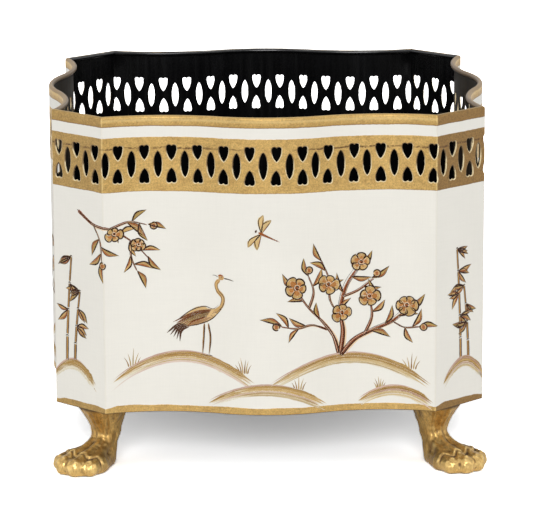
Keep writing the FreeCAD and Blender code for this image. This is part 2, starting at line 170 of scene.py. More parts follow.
class WallPlan:
    """Plan of the outer face as a table of places and outward normals by distance around."""

    STEP = 0.2

    def __init__(self):
        rows = []
        self.panel_starts = [0.0]
        lines = [self.panel_line(panel) for panel in range(8)]
        for line in lines:
            start = self.panel_starts[-1]
            rows += [(start + run, *place, *normal) for run, place, normal in line]
            self.panel_starts.append(start + line[-1][0])
        self.length = self.panel_starts[-1]
        self.pitch = self.length / PITCHES
        self.fold_ends = [(before[-1][1], before[-1][2], after[0][2])
                          for before, after in zip([lines[-1]] + lines, lines)]
        table = np.array(rows)
        self.distances = table[:, 0]
        self.places = table[:, 1:3]
        self.normals = table[:, 3:5]
        self.round_folds()

    def panel_line(self, panel):
        """Samples of one wall or canted corner as (run, place, normal), from its start."""
        half = HALF_SPAN - CANT_RUN
        if panel % 2:
            first = self.turned(panel, half, HALF_SPAN)
            run = self.turned(panel + 1, -half, HALF_SPAN) - first
            length = np.hypot(*run)
            normal = np.array((run[1], -run[0])) / length
            count = int(length / self.STEP)
            return [(length * i / count, first + run * i / count, normal) for i in range(count + 1)]
        recess_x = half - RECESS_PLACE
        recess_radius = (RECESS_PLACE ** 2 + RECESS_DEPTH ** 2) / (2 * RECESS_DEPTH)
        swing = RECESS_DEPTH + BULGE_RISE
        drop = recess_radius - swing
        bulge_radius = (recess_x ** 2 + drop ** 2 - recess_radius ** 2) / (2 * swing)
        fold_angle = math.asin(RECESS_PLACE / recess_radius)
        join_angle = math.asin(recess_x / (recess_radius + bulge_radius))
        arcs = (
            (-recess_x, recess_radius - RECESS_DEPTH, recess_radius, -fold_angle, join_angle, -1),
            (0.0, BULGE_RISE - bulge_radius, bulge_radius, -join_angle, join_angle, 1),
            (recess_x, recess_radius - RECESS_DEPTH, recess_radius, -join_angle, fold_angle, -1),
        )
        samples = []
        start = 0.0
        for centre_x, centre_y, radius, low, high, side in arcs:
            length = radius * (high - low)
            count = int(length / self.STEP)
            for i in range(count + 1):
                angle = low + (high - low) * i / count
                x = centre_x + radius * math.sin(angle)
                y = HALF_SPAN + centre_y + side * radius * math.cos(angle)
                normal = self.turned(panel, side * math.sin(angle), math.cos(angle))
                samples.append((start + length * i / count, self.turned(panel, x, y), normal))
            start += length
        return samples

    @staticmethod
    def turned(panel, along, out):
        """A point or direction of a wall's own frame, turned to its side of the planter."""
        facing = math.radians(90 * (panel // 2) - 90)
        return np.array((
            out * math.cos(facing) - along * math.sin(facing),
            out * math.sin(facing) + along * math.cos(facing),
        ))

    def past_fold(self, distance, panel):
        """How far distances lie past a panel's first fold, negative before it."""
        return (distance - self.panel_starts[panel] + self.length / 2) % self.length - self.length / 2

    def round_folds(self):
        """Replace each fold's corner in the table by a small arc."""
        for panel, (corner, before, after) in enumerate(self.fold_ends):
            turn = math.acos(float(np.clip(before @ after, -1, 1)))
            reach = FOLD_RADIUS * math.tan(turn / 2)
            middle = before + after
            middle /= np.hypot(*middle)
            centre = corner - middle * FOLD_RADIUS / math.cos(turn / 2)
            offset = self.past_fold(self.distances, panel)
            near = np.abs(offset) < reach
            share = (offset[near] / reach + 1) / 2
            weights = np.sin((1 - share) * turn), np.sin(share * turn)
            normal = (weights[0][:, None] * before + weights[1][:, None] * after) / math.sin(turn)
            self.normals[near] = normal
            self.places[near] = centre + normal * FOLD_RADIUS

    def at(self, distance):
        """Places and normals at an array of distances around."""
        distance = np.asarray(distance, float) % self.length
        columns = [np.interp(distance, self.distances, column)
                   for column in (*self.places.T, *self.normals.T)]
        normal = np.stack(columns[2:], axis=-1)
        normal /= np.linalg.norm(normal, axis=-1, keepdims=True)
        return np.stack(columns[:2], axis=-1), normal

    def wrap(self, distance, height, depth):
        """Points in metres for arrays of distance, height and depth."""
        distance = np.asarray(distance, float)
        depth = np.broadcast_to(np.asarray(depth, float), distance.shape)
        place, normal = self.at(distance)
        point = self.mitre(place + normal * depth[:, None], distance, depth)
        z = np.broadcast_to(np.asarray(height, float), distance.shape) + BODY_BASE
        return np.column_stack((point, z)) * MM

    def mitre(self, point, distance, depth):
        """Slide deep points near a fold along their panel, so that they stay on their side of it."""
        for panel, (corner, before, after) in enumerate(self.fold_ends):
            offset = self.past_fold(distance, panel)
            split = after - before
            split /= np.hypot(*split)
            for side, normal in ((-1, before), (1, after)):
                tangent = np.array((-normal[1], normal[0]))
                near = (np.abs(offset) < 8.0) & (offset * side >= 0) & (depth < -FOLD_RADIUS * 0.8)
                across = (point - corner) @ split
                wrong = near & (across * side < 0)
                slide = across / (tangent @ split)
                point[wrong] -= tangent * slide[wrong][:, None]
        return point

    def fold_distance(self, distance):
        """How far each distance lies from the nearest fold."""
        gap = np.abs(np.asarray(distance, float)[:, None] % self.length - np.array(self.panel_starts))
        return gap.min(axis=1)


PLAN = WallPlan()
# One cell of the pierced row's mesh holds one column of holes
CELL = PLAN.pitch / 2
CELL_START = (ROW_START_SHARE - 0.25) * PLAN.pitch


class MeshParts:
    """Vertices, faces, normals and attributes gathered for one mesh."""

    def __init__(self):
        self.points = []
        self.normals = []
        self.faces = []
        self.slots = []
        self.values = {}

    def add(self, points, faces, slot, normals, **values):
        """Add a patch. Values are float attributes or four-column colours, one row to a vertex."""
        first = sum(len(part) for part in self.points)
        self.points.append(np.asarray(points, float))
        self.normals.append(np.asarray(normals, float))
        self.faces.extend([tuple(first + i for i in face) for face in faces])
        self.slots.extend([slot] * len(faces))
        for name, value in values.items():
            self.values.setdefault(name, []).append(np.asarray(value, float))

    def build(self, name, materials):
        mesh = bpy.data.meshes.new(name)
        mesh.from_pydata(np.concatenate(self.points).tolist(), [], self.faces)
        for title, parts in self.values.items():
            rows = np.concatenate(parts)
            kind, key = ("FLOAT_COLOR", "color") if rows.ndim == 2 else ("FLOAT", "value")
            attribute = mesh.attributes.new(title, kind, "POINT")
            attribute.data.foreach_set(key, rows.astype(np.float32).ravel())
        mesh.polygons.foreach_set("use_smooth", [True] * len(mesh.polygons))
        mesh.polygons.foreach_set("material_index", self.slots)
        for material in materials:
            mesh.materials.append(material)
        normals = np.concatenate(self.normals)
        self.turn_faces(mesh, normals)
        mesh.normals_split_custom_set_from_vertices(normals.tolist())
        mesh.update()
        piece = bpy.data.objects.new(name, mesh)
        bpy.context.scene.collection.objects.link(piece)
        return piece

    @staticmethod
    def turn_faces(mesh, normals):
        """Turn each face round that looks away from its corners' normals."""
        count = len(mesh.polygons)
        starts = np.zeros(count, np.int64)
        corners = np.zeros(len(mesh.loops), np.int64)
        facing = np.zeros(3 * count)
        mesh.polygons.foreach_get("loop_start", starts)
        mesh.loops.foreach_get("vertex_index", corners)
        mesh.polygons.foreach_get("normal", facing)
        wanted = np.add.reduceat(normals[corners], starts, axis=0)
        for i in np.nonzero((wanted * facing.reshape(-1, 3)).sum(axis=1) < 0)[0]:
            mesh.polygons[int(i)].flip()


def grid_faces(rows, columns, closed=False):
    """Quads over rows by columns of vertices, joined round along the rows if closed."""
    faces = []
    for low in range(0, (rows - 1) * columns, columns):
        for j in range(columns if closed else columns - 1):
            after = (j + 1) % columns
            faces.append((low + j, low + after, low + columns + after, low + columns + j))
    return faces


def unit_rows(rows):
    """Rows of numbers as vectors of length one."""
    return rows / np.maximum(np.linalg.norm(rows, axis=1, keepdims=True), 1e-9)


def world_normals(distance, along, up, out):
    """Normals from parts along the wall, upward and outward, each an array or one number."""
    normal = PLAN.at(distance)[1]
    tangent = np.column_stack((-normal[:, 1], normal[:, 0]))
    along, up, out = (np.broadcast_to(part, distance.shape)[:, None] for part in (along, up, out))
    return unit_rows(np.hstack((tangent * along + normal * out, up)))


def dress(piece, slot, *replaced):
    """Let a piece ride on the planter and hide the nodes that it stands for. The slot is not used."""
    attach(piece, "root")
    if replaced:
        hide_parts(*replaced)


class Value:
    """An output in a material's node tree that takes plain arithmetic."""

    def __init__(self, nodes, socket):
        self.nodes = nodes
        self.socket = socket

    def __add__(self, other):
        return self.nodes.calc("ADD", self, other)

    def __mul__(self, other):
        return self.nodes.calc("MULTIPLY", self, other)

    def __sub__(self, other):
        return self.nodes.calc("SUBTRACT", self, other)

    def __rsub__(self, other):
        return self.nodes.calc("SUBTRACT", other, self)

    def __pow__(self, other):
        return self.nodes.calc("POWER", self, other)

    def __abs__(self):
        return self.nodes.calc("ABSOLUTE", self)


class Nodes:
    """The node tree of a material or of the world, built from short calls."""

    def __init__(self, name, kind="materials"):
        self.owner = getattr(bpy.data, kind).new(name)
        self.owner.use_nodes = True
        self.tree = self.owner.node_tree
        self.tree.nodes.clear()

    def node(self, kind, **settings):
        made = self.tree.nodes.new(kind)
        for key, value in settings.items():
            setattr(made, key, value)
        return made

    def feed(self, made, sockets, output=0):
        """Link or set a node's sockets by name or number, and give one of its outputs."""
        for key, value in sockets.items():
            if isinstance(value, Value):
                self.tree.links.new(value.socket, made.inputs[key])
            elif value is not None:
                made.inputs[key].default_value = value
        return Value(self, made.outputs[output]) if len(made.outputs) else None

    def calc(self, operation, *values, clamp=False):
        made = self.node("ShaderNodeMath", operation=operation, use_clamp=clamp)
        return self.feed(made, dict(enumerate(values)))

    def most(self, first, *others):
        """The largest of some numbers."""
        for value in others:
            first = self.calc("MAXIMUM", first, value)
        return first

    def scaled(self, vector, scale):
        return self.feed(self.node("ShaderNodeVectorMath", operation="MULTIPLY"), {0: vector, 1: scale})

    def joined(self, x, y, z=0.0):
        return self.feed(self.node("ShaderNodeCombineXYZ"), {0: x, 1: y, 2: z})

    def attribute(self, name, output="Fac"):
        return Value(self, self.node("ShaderNodeAttribute", attribute_name=name).outputs[output])

    def ray(self, kind):
        """One for rays of a kind, nothing for others."""
        return Value(self, self.node("ShaderNodeLightPath").outputs["Is " + kind + " Ray"])

    def position(self):
        """The object's own coordinates, in metres."""
        return Value(self, self.node("ShaderNodeTexCoord").outputs["Object"])

    def axis(self, vector, number):
        """One of a vector's three numbers."""
        return self.feed(self.node("ShaderNodeSeparateXYZ"), {0: vector}, number)

    def noise(self, vector, scale, detail=3.0, rough=0.5):
        made = self.node("ShaderNodeTexNoise", noise_dimensions="3D")
        sockets = {"Vector": vector, "Scale": scale, "Detail": detail, "Roughness": rough}
        return self.feed(made, sockets, "Fac")

    def ranged(self, value, low, high, to_low=0.0, to_high=1.0, smooth=False):
        kind = "SMOOTHSTEP" if smooth else "LINEAR"
        made = self.node("ShaderNodeMapRange", interpolation_type=kind, clamp=True)
        return self.feed(made, dict(enumerate((value, low, high, to_low, to_high))))

    def swing(self, value, low, high):
        """The middle of a noise's range stretched from low to high."""
        return self.ranged(value, 0.3, 0.7, low, high)

    def mix(self, share, first, second, blend="MIX"):
        made = self.node("ShaderNodeMix", data_type="RGBA", blend_type=blend)
        return self.feed(made, {0: share, 6: first, 7: second}, 2)

    def shade(self, colour, amount):
        """A colour made lighter or darker by a number about one."""
        return self.mix(1.0, colour, self.joined(amount, amount, amount), "MULTIPLY")

    def power(self, colour, amount):
        return self.feed(self.node("ShaderNodeGamma"), {"Color": colour, "Gamma": amount})

    def bump(self, height, distance):
        made = self.node("ShaderNodeBump")
        return self.feed(made, {"Strength": 1.0, "Distance": distance, "Height": height})

    def show(self, kind, shader):
        """Send a shader to the tree's output, and give what owns the tree."""
        self.feed(self.node(kind), {0: shader})
        return self.owner

    def finish(self, colour, roughness, metallic=0.0, normal=None, specular=0.5):
        shader = self.node("ShaderNodeBsdfPrincipled")
        shader.inputs["Specular IOR Level"].default_value = specular
        made = self.feed(shader, {"Base Color": colour, "Roughness": roughness, "Metallic": metallic,
                                  "Normal": normal})
        return self.show("ShaderNodeOutputMaterial", made)


def ivory_colour(n, place, fold=None):
    """Hand-painted ivory with faint clouds and brush marks, a little greyer along the folds."""
    brush = n.noise(n.scaled(place, (900.0, 900.0, 60.0)), 1.0, 2.0)
    weave = n.noise(n.scaled(place, (60.0, 60.0, 900.0)), 1.0, 2.0)
    amount = n.swing(n.noise(place, 22.0), 0.985, 1.012) + n.swing(brush, -0.008, 0.008)
    colour = n.shade(IVORY, amount + n.swing(weave, -0.008, 0.008))
    if fold is not None:
        colour = n.mix(n.ranged(fold, 0.0, 0.0012, 0.35, 0.0), colour, srgb(214, 204, 186))
    return colour


def gold_colour(n, place, flow):
    """Antique gold paint: fine grain, brush streaks, soft patches, and painted shade that darkens the canted
    corners, the right ones most.
    """
    turned = n.ranged(n.attribute("square"), 0.92, 0.74)
    right_side_shade = n.ranged(n.axis(place, 0), -0.02, 0.02, 0.2, 0.9)
    grain = n.noise(place, 800.0, 3.0, 0.75)
    patch = n.noise(place, 150.0, 5.0, 0.65)
    streak = n.noise(n.scaled(flow, (90.0, 900.0, 1.0)), 1.0, 3.0, 0.65)
    colour = n.mix(n.ranged(patch, 0.5, 0.8, 0.0, 0.6), GOLD, GOLD_DARK)
    colour = n.mix(n.ranged(patch, 0.45, 0.2, 0.0, 0.3), colour, GOLD_LIGHT)
    # Painted shade: the canted corners mixed towards dark gold, the right ones most.
    colour = n.mix(turned * right_side_shade, colour, GOLD_DARK)
    amount = n.swing(grain, 0.66, 1.3) + n.swing(streak, -0.10, 0.10)
    # Painted shade: the canted corners a little darker overall.
    return n.shade(colour, amount * n.ranged(turned, 0.0, 1.0, 1.0, 0.88)), grain, streak


def wall_paint():
    """Outer face of the walls: ivory with gold bands, painted by height, with uneven brushed edges."""
    n = Nodes("painted_wall")
    place = n.position()
    height = n.axis(place, 2) - BODY_BASE * MM
    fold = n.attribute("fold")
    flow = n.joined(n.attribute("around"), height)
    wobble = n.swing(n.noise(flow, 45.0, 2.0), -0.25 * MM, 0.25 * MM)
    edge = height + (wobble + n.swing(n.noise(flow, 420.0), -0.12 * MM, 0.12 * MM))
    soft = 0.12 * MM

    def above(level):
        return n.ranged(edge, level * MM - soft, level * MM + soft)

    def near(gap, reach, full, most=1.0):
        return n.ranged(abs(gap), reach * MM, full * MM, 0.0, most)

    rim = above(RIM_PAINT)
    band = above(BAND_BOTTOM) - above(BAND_TOP)
    wave = n.swing(n.noise(flow, 24.0, 2.0), -0.7 * MM, 0.7 * MM)
    dip = n.ranged(fold, 0.0, 0.011, FOOT_BAND_DIP * MM, 0.0, smooth=True)
    foot = n.ranged(edge + wave + dip, FOOT_BAND * MM + soft, FOOT_BAND * MM - soft)
    gold_share = n.most(rim, band, foot)

    gold, grain, streak = gold_colour(n, place, flow)
    drift = n.swing(n.noise(flow, 110.0), -0.6 * MM, 0.6 * MM)
    scribe = near(edge + drift - (ROW_LEVEL + SCRIBE_RISE) * MM, 1.0, 0.4)
    scribe = scribe * n.ranged(n.noise(n.scaled(flow, (17.0, 3.0, 1.0)), 1.0, 2.0), 0.38, 0.5)
    scribe = scribe * n.ranged(n.noise(flow, 520.0, 2.0), 0.34, 0.52)
    gold = n.mix(scribe * 0.9, gold, srgb(84, 54, 26))
    # Wear and painted highlight: paler gold along the folds.
    worn_and_highlight = n.ranged(fold, 0.0011, 0.0002) * n.ranged(n.noise(flow, 500.0), 0.35, 0.55, 0.15, 0.65)
    gold = n.mix(worn_and_highlight, gold, GOLD_LIGHT)
    # Painted highlight along the gold rim a little below its top, on walls that face square on, and painted
    # shade towards the rim's lower edge.
    facing = n.ranged(n.attribute("square"), 0.74, 0.92)
    rim_highlight = near(edge - (BODY_TOP - 3.2) * MM, 1.6, 0.3, 0.45) * facing
    gold = n.mix(rim_highlight, gold, GOLD_LIGHT)
    rim_low_shade = rim * n.ranged(edge, (RIM_PAINT + 3.4) * MM, (RIM_PAINT + 0.6) * MM, 0.0, 0.35)
    gold = n.mix(rim_low_shade, gold, GOLD_DARK)
    lines = n.most(near(edge - (RIM_PAINT + 0.25) * MM, 0.45, 0.1, 0.8),
                   near(edge - (BAND_BOTTOM + 0.2) * MM, 0.35, 0.1, 0.5))
    gold = n.mix(lines, gold, srgb(122, 86, 48))

    colour = n.mix(gold_share, ivory_colour(n, place, fold), gold)
    patchy = n.ranged(n.noise(flow, 160.0), 0.3, 0.6, 0.35, 0.9)
    colour = n.mix(n.ranged(n.attribute("seam"), 0.0007, 0.0002) * patchy, colour, srgb(150, 122, 88))
    # Painted shadow: a dark line along the sheet's bottom edge.
    colour = n.mix(n.ranged(height, 0.55 * MM, 0.15 * MM), colour, srgb(52, 36, 24))
    relief = gold_share * 0.5 + streak * (gold_share * 0.35) + grain * (gold_share * 0.25)
    rough = n.ranged(gold_share, 0.0, 1.0, 0.36, 0.40)
    return n.finish(colour, rough, gold_share * 0.45, n.bump(relief, 0.12 * MM))


def cut_edge():
    """Edge of the pierced holes: bare cream metal, left as a painted highlight below and at the right, with
    painted brown shade above and at the left.
    """
    n = Nodes("cut_edge")
    share = n.ranged(n.noise(n.position(), 700.0), 0.45, 0.7, 0.0, 0.6)
    colour = n.mix(share, CUT_EDGE, srgb(206, 170, 108))
    # Painted shade: brown on the side of each edge that faces away from the light.
    edge_shade = n.ranged(n.attribute("rubbed"), 0.1, -0.5, 0.0, 0.85)
    return n.finish(n.mix(edge_shade, colour, srgb(112, 80, 42)), 0.45, 0.1)


def black_gloss():
    """Gloss black paint inside, with a thin veil of dust, and a painted reflection in brown streaks on the
    end walls.
    """
    n = Nodes("black_gloss")
    place = n.position()
    end = n.attribute("end")
    specks = n.ranged(n.noise(place, 700.0, 2.0), 0.4, 0.7)
    veil = n.ranged(n.noise(place, 38.0, 5.0, 0.65), 0.5, 0.8) * specks
    streak = n.noise(n.scaled(place, (260.0, 260.0, 12.0)), 1.0)
    colour = n.mix(veil, BLACK, srgb(24, 24, 27))
    # Painted reflection: lighter brown streaks down the inner faces of the end walls.
    colour = n.mix(end * n.ranged(streak, 0.3, 0.72, 0.2, 1.0), colour, srgb(60, 52, 41))
    rough = n.swing(streak, 0.16, 0.3) + end * 0.25
    return n.finish(colour, rough, 0.0, n.bump(streak, 0.05 * MM), specular=0.2)


def rolled_paint():
    """Gold over the outer half of the roll with a painted highlight on its upper side, a thin dark line, then
    gloss black with a painted highlight line.
    """
    n = Nodes("rolled_rim_paint")
    place = n.position()
    turn = n.attribute("turn")
    end = n.attribute("end")
    flow = n.joined(n.attribute("around"), n.axis(place, 2) - BODY_BASE * MM)
    gold, grain, streak = gold_colour(n, place, flow)
    edge = turn + n.swing(n.noise(flow, 90.0), -14.0, 14.0)
    inside = n.ranged(edge, 104.0, 112.0)
    # Painted highlight: lighter gold over the roll's upper outer side.
    gold = n.mix(n.ranged(turn, 40.0, 80.0, 0.0, 0.35), gold, GOLD_LIGHT)
    colour = n.mix(n.ranged(abs(edge - 106.0), 12.0, 4.0, 0.0, 0.6), gold, srgb(92, 72, 52))
    dust = n.ranged(n.noise(place, 60.0, 4.0), 0.45, 0.75, 0.0, 0.5)
    colour = n.mix(inside, colour, n.mix(dust, BLACK, srgb(30, 29, 31)))
    # Painted highlight: a pale line along the black just inside the roll's top.
    shine = n.ranged(abs(turn - HIGHLIGHT_TURN), 9.0, 2.0) * n.ranged(n.noise(flow, 22.0, 2.0), 0.42, 0.6)
    colour = n.mix(shine * 0.75, colour, srgb(196, 192, 184))
    colour = n.mix(end * 0.75, colour, srgb(150, 126, 98))
    rough = n.ranged(n.calc("SUBTRACT", inside, end, clamp=True), 0.0, 1.0, 0.42, 0.2)
    relief = grain * 0.3 + streak * 0.4
    return n.finish(colour, rough, n.ranged(inside, 0.0, 1.0, 0.45, 0.0), n.bump(relief, 0.1 * MM))


def cast_gold():
    """Antique gold on cast metal: dark with patina in the hollows and painted shadow at the sole and under
    the band, bright with wear and painted highlights, fine brushed grain.
    """
    n = Nodes("cast_gold")
    place = n.position()
    grain = n.noise(n.scaled(place, (640.0, 640.0, 120.0)), 1.0, 3.0, 0.7)
    mottle = n.noise(n.scaled(place, (1.0, 1.0, 0.6)), 150.0)
    speck = n.noise(n.scaled(place, (1.0, 1.0, 0.35)), 1100.0, 2.0, 0.6)
    base = n.mix(n.ranged(mottle, 0.35, 0.7), srgb(212, 172, 100), srgb(164, 124, 64))
    base = n.shade(base, n.swing(grain, 0.74, 1.22) + n.swing(speck, -0.2, 0.2))
    # Wear and painted highlight on proud places, and a painted highlight on the toes.
    rub = n.attribute("rub") * n.ranged(speck, 0.3, 0.6, 0.45, 1.0)
    base = n.mix(rub, base, srgb(240, 208, 136))
    # Patina in the hollows, and painted shadow at the sole's edge and under the band.
    dark_share = n.attribute("hollow") * n.ranged(mottle, 0.25, 0.6, 0.75, 1.0)
    colour = n.mix(n.calc("MINIMUM", dark_share, 0.95), base, srgb(54, 34, 16))
    relief = n.bump(grain * 0.5 + speck * 0.5, 0.15 * MM)
    return n.finish(colour, n.ranged(dark_share, 0.0, 1.0, 0.3, 0.7), n.ranged(dark_share, 0.0, 1.0, 0.7, 0.1), relief)


def zinc_steel():
    """Zinc plate with a fine spangle."""
    n = Nodes("zinc_steel")
    spangle = n.noise(n.position(), 600.0, 2.0)
    return n.finish(n.shade(srgb(176, 180, 186), n.swing(spangle, 0.85, 1.1)), 0.35, 0.9)


def brushed_paint():
    """Thin paint of a stroke, streaked along its length and let out to the ivory at its edges."""
    n = Nodes("brushed_paint")
    place = n.position()
    across = n.attribute("across")
    along = n.attribute("along")
    flow = n.joined(along * 0.09, across * n.attribute("wide") * 1.5, along * 0.004)
    streak = n.noise(flow, 1.0, 3.0, 0.6)
    grain = n.noise(place, 1300.0, 2.0, 0.6)
    inside = n.ranged(abs(across) + (grain - 0.5) * 0.5, 1.0, 0.86)
    dryness = 1.0 - n.attribute("dry") * n.ranged(streak, 0.36, 0.62)
    bare = 1.0 - n.attribute("cover") * inside * dryness
    share = 1.0 - bare ** 1.4
    amount = n.swing(streak, 0.88, 1.12) + n.ranged(abs(across), 0.5, 0.95, 0.02, -0.12)
    ground = n.power(ivory_colour(n, place), 1.0 - share)
    paint = n.power(n.shade(n.attribute("tint", "Color"), amount), share)
    return n.finish(n.mix(1.0, ground, paint, "MULTIPLY"), 0.45, specular=0.12)


def eye_outline():
    """Upright pointed oval about its middle."""
    right = []
    for i in range(18):
        share = 2 * i / 18 - 1
        right.append((EYE_WIDTH / 2 * (1 - abs(share) ** 2.2) ** 0.74, EYE_LENGTH / 2 * share))
    return right + [(-x, -z) for x, z in right]


def heart_outline():
    """Upper heart of a pair about the row's middle, its tip down."""
    tip = HEART_GAP / 2
    lobe = HEART_WIDTH / 4
    rise = 1.45
    shoulder = tip + HEART_LENGTH - rise
    side = []
    for i in range(8):
        angle = math.radians(152 - 152 * i / 7)
        side.append((lobe + lobe * math.cos(angle), shoulder + rise * math.sin(angle)))
    spots = ((HEART_WIDTH / 2, shoulder), (HEART_WIDTH * 0.53, tip + HEART_LENGTH * 0.38), (0.35, tip))
    for i in range(1, 9):
        share = i / 9
        weights = ((1 - share) ** 2, 2 * share * (1 - share), share ** 2)
        side.append(tuple(sum(w * spot[axis] for w, spot in zip(weights, spots)) for axis in (0, 1)))
    return side + [(0.0, tip - 0.12)] + [(-x, z) for x, z in side[::-1]]


def hand_cut(outline, rng, narrow):
    """An outline cut by hand and so a little uneven, anticlockwise."""
    tilt = math.radians(rng.uniform(-1.6, 1.6))
    size = rng.uniform(0.96, 1.04)
    shift_x = rng.uniform(-0.2, 0.2)
    shift_z = rng.uniform(-0.2, 0.2)
    seed = rng.uniform(0, 100)
    middle_z = sum(z for x, z in outline) / len(outline)
    loop = []
    for x, z in outline:
        nudge = noise.noise(Vector((x * 0.55 + seed, z * 0.55, 0.0))) * 0.22
        burr = noise.noise(Vector((x * 1.9 + seed, z * 1.9, 5.0))) * 0.16
        x = x * (narrow * size + (nudge + burr) / 3.0)
        z = middle_z + (z - middle_z) * size
        loop.append((x * math.cos(tilt) - z * math.sin(tilt) + shift_x,
                     x * math.sin(tilt) + z * math.cos(tilt) + shift_z))
    area = sum(a[0] * b[1] - b[0] * a[1] for a, b in zip(loop, loop[1:] + loop[:1]))
    return loop if area > 0 else loop[::-1]


def grown(loop, width):
    """An anticlockwise loop moved outward by a width."""
    moved = []
    for last, spot, after in zip(loop[-1:] + loop[:-1], loop, loop[1:] + loop[:1]):
        before = Vector(spot) - Vector(last)
        ahead = Vector(after) - Vector(spot)
        normal = Vector((before.y, -before.x)).normalized() + Vector((ahead.y, -ahead.x)).normalized()
        normal.normalize()
        moved.append((spot[0] + normal.x * width, spot[1] + normal.y * width))
    return moved


def inside_any(x, z, loops):
    """Whether a point lies inside one of some loops."""
    for loop in loops:
        hit = False
        for (x0, z0), (x1, z1) in zip(loop, loop[1:] + loop[:1]):
            if (z0 > z) != (z1 > z) and x < x0 + (x1 - x0) * (z - z0) / (z1 - z0):
                hit = not hit
        if hit:
            return True
    return False


def row_holes():
    """Every hole of the row as (distance of its column, loop about the column and the row's level)."""
    rng = random.Random(7)
    heart = heart_outline()
    kinds = ((eye_outline(),), (heart, [(x, -z) for x, z in heart]))
    holes = []
    for i in range(2 * PITCHES):
        column = (ROW_START_SHARE + i / 2) * PLAN.pitch
        narrow = BACK_NARROW if PLAN.panel_starts[3] < column < PLAN.panel_starts[6] else 1.0
        holes += [(column, hand_cut(outline, rng, narrow)) for outline in kinds[i % 2]]
    return holes


HOLES = row_holes()


def sheet_columns(first, last):
    """Distances of a sheet's mesh columns: even steps, and close ones round each fold."""
    step = CELL / CELL_STEPS
    folds = [fold + turn * PLAN.length for fold in PLAN.panel_starts[:8] for turn in (-1, 0, 1)]
    folds = [fold for fold in folds if first - 0.1 < fold < last + 0.1]
    close = [fold + 0.3 * shift for fold in folds for shift in range(-3, 4)]
    columns = [c for c in close if first <= c <= last] + [first, last]
    for i in range(math.ceil((first - CELL_START) / step), math.floor((last - CELL_START) / step) + 1):
        column = CELL_START + i * step
        if i % CELL_STEPS == 0 or all(abs(column - c) > 0.35 for c in close + [first, last]):
            columns.append(column)
    columns.sort()
    return [c for c, before in zip(columns, [-math.inf] + columns) if c - before > 1e-4]


def cell_plate(columns, loops):
    """Points and triangles of the pierced zone over one cell's columns, in distance and height."""
    rows = [ZONE_LOW + 2 * ZONE_HALF * i / ZONE_ROWS for i in range(ZONE_ROWS + 1)]
    points = [(c, rows[0]) for c in columns] + [(columns[-1], r) for r in rows[1:-1]]
    points += [(c, rows[-1]) for c in columns[::-1]] + [(columns[0], r) for r in rows[-2:0:-1]]
    edges = [(i, (i + 1) % len(points)) for i in range(len(points))]
    for loop in loops:
        first = len(points)
        points += loop
        edges += [(first + i, first + (i + 1) % len(loop)) for i in range(len(loop))]
    wide = [grown(loop, 0.55) for loop in loops]
    points += [(c, r) for c in columns[1:-1] for r in rows[1:-1] if not inside_any(c, r, wide)]
    made, _, triangles, *_ = geometry.delaunay_2d_cdt([Vector(p) for p in points], edges, [], 0, 1e-5, False)
    faces = []
    for face in triangles:
        x, z = (sum(made[i][axis] for i in face) / 3 for axis in (0, 1))
        if columns[0] < x < columns[-1] and not inside_any(x, z, loops):
            faces.append(tuple(face))
    return [tuple(p) for p in made], faces


def squareness(distance):
    """One where a wall faces front, back or an end, less as it turns towards a diagonal."""
    return np.abs(PLAN.at(distance)[1]).max(axis=1)


def end_wall(distance):
    """One on the two end walls, nothing on the front and back."""
    return np.clip((np.abs(PLAN.at(distance)[1][:, 0]) - 0.8) / 0.1, 0, 1)


def wall_values(distance, square=1.0, fold=1.0, seam=1.0, end=0.0, rubbed=0.0):
    """What the walls' materials read at each vertex."""
    values = dict(around=distance * MM, square=square, fold=fold, seam=seam, end=end, rubbed=rubbed)
    return {name: np.broadcast_to(value, distance.shape) for name, value in values.items()}


def skin(parts, spots, faces, ends, depth, slot, out):
    """One patch of the outer or inner skin from its places in distance and height."""
    distance, height = np.asarray(spots, float).T
    seam = np.minimum(np.abs(distance - ends[0]), np.abs(distance - ends[1])) * MM
    values = wall_values(distance, squareness(distance), PLAN.fold_distance(distance) * MM, seam,
                         end_wall(distance))
    parts.add(PLAN.wrap(distance, height, depth), faces, slot, world_normals(distance, 0, 0, out), **values)


def hole_edge(parts, column, loop):
    """Bevel and cut wall of one hole, as rings of (loop, depth, outward share, inward share)."""
    rings = (
        (grown(loop, BEVEL), 0.0, 0.85, 0.35),
        (grown(loop, BEVEL * 0.45), -BEVEL_SINK * 0.3, 0.5, 0.8),
        (loop, -BEVEL_SINK, 0.25, 1.0),
        (loop, -0.8 * SHEET, 0.0, 1.0),
        (loop, -SHEET, 0.0, 1.0),
    )
    count = len(loop)
    spots = np.concatenate([ring[0] for ring in rings])
    depth, out, inward = np.repeat([ring[1:] for ring in rings], count, axis=0).T
    aim = np.mean(loop, axis=0) - spots
    aim /= np.maximum(np.hypot(*aim.T), 1e-6)[:, None]
    distance = column + spots[:, 0]
    points = PLAN.wrap(distance, ROW_LEVEL + spots[:, 1], depth)
    normals = world_normals(distance, aim[:, 0] * inward, aim[:, 1] * inward, out)
    # How far each edge faces the light, for the painted highlight and painted shade of the holes' edges.
    values = wall_values(distance, end=end_wall(distance), rubbed=0.75 * aim[:, 1] - 0.65 * aim[:, 0])
    faces = grid_faces(len(rings), count, closed=True)
    parts.add(points, faces[:3 * count], CUT_SLOT, normals, **values)
    parts.add(points, faces[3 * count:], BLACK_SLOT, normals, **values)


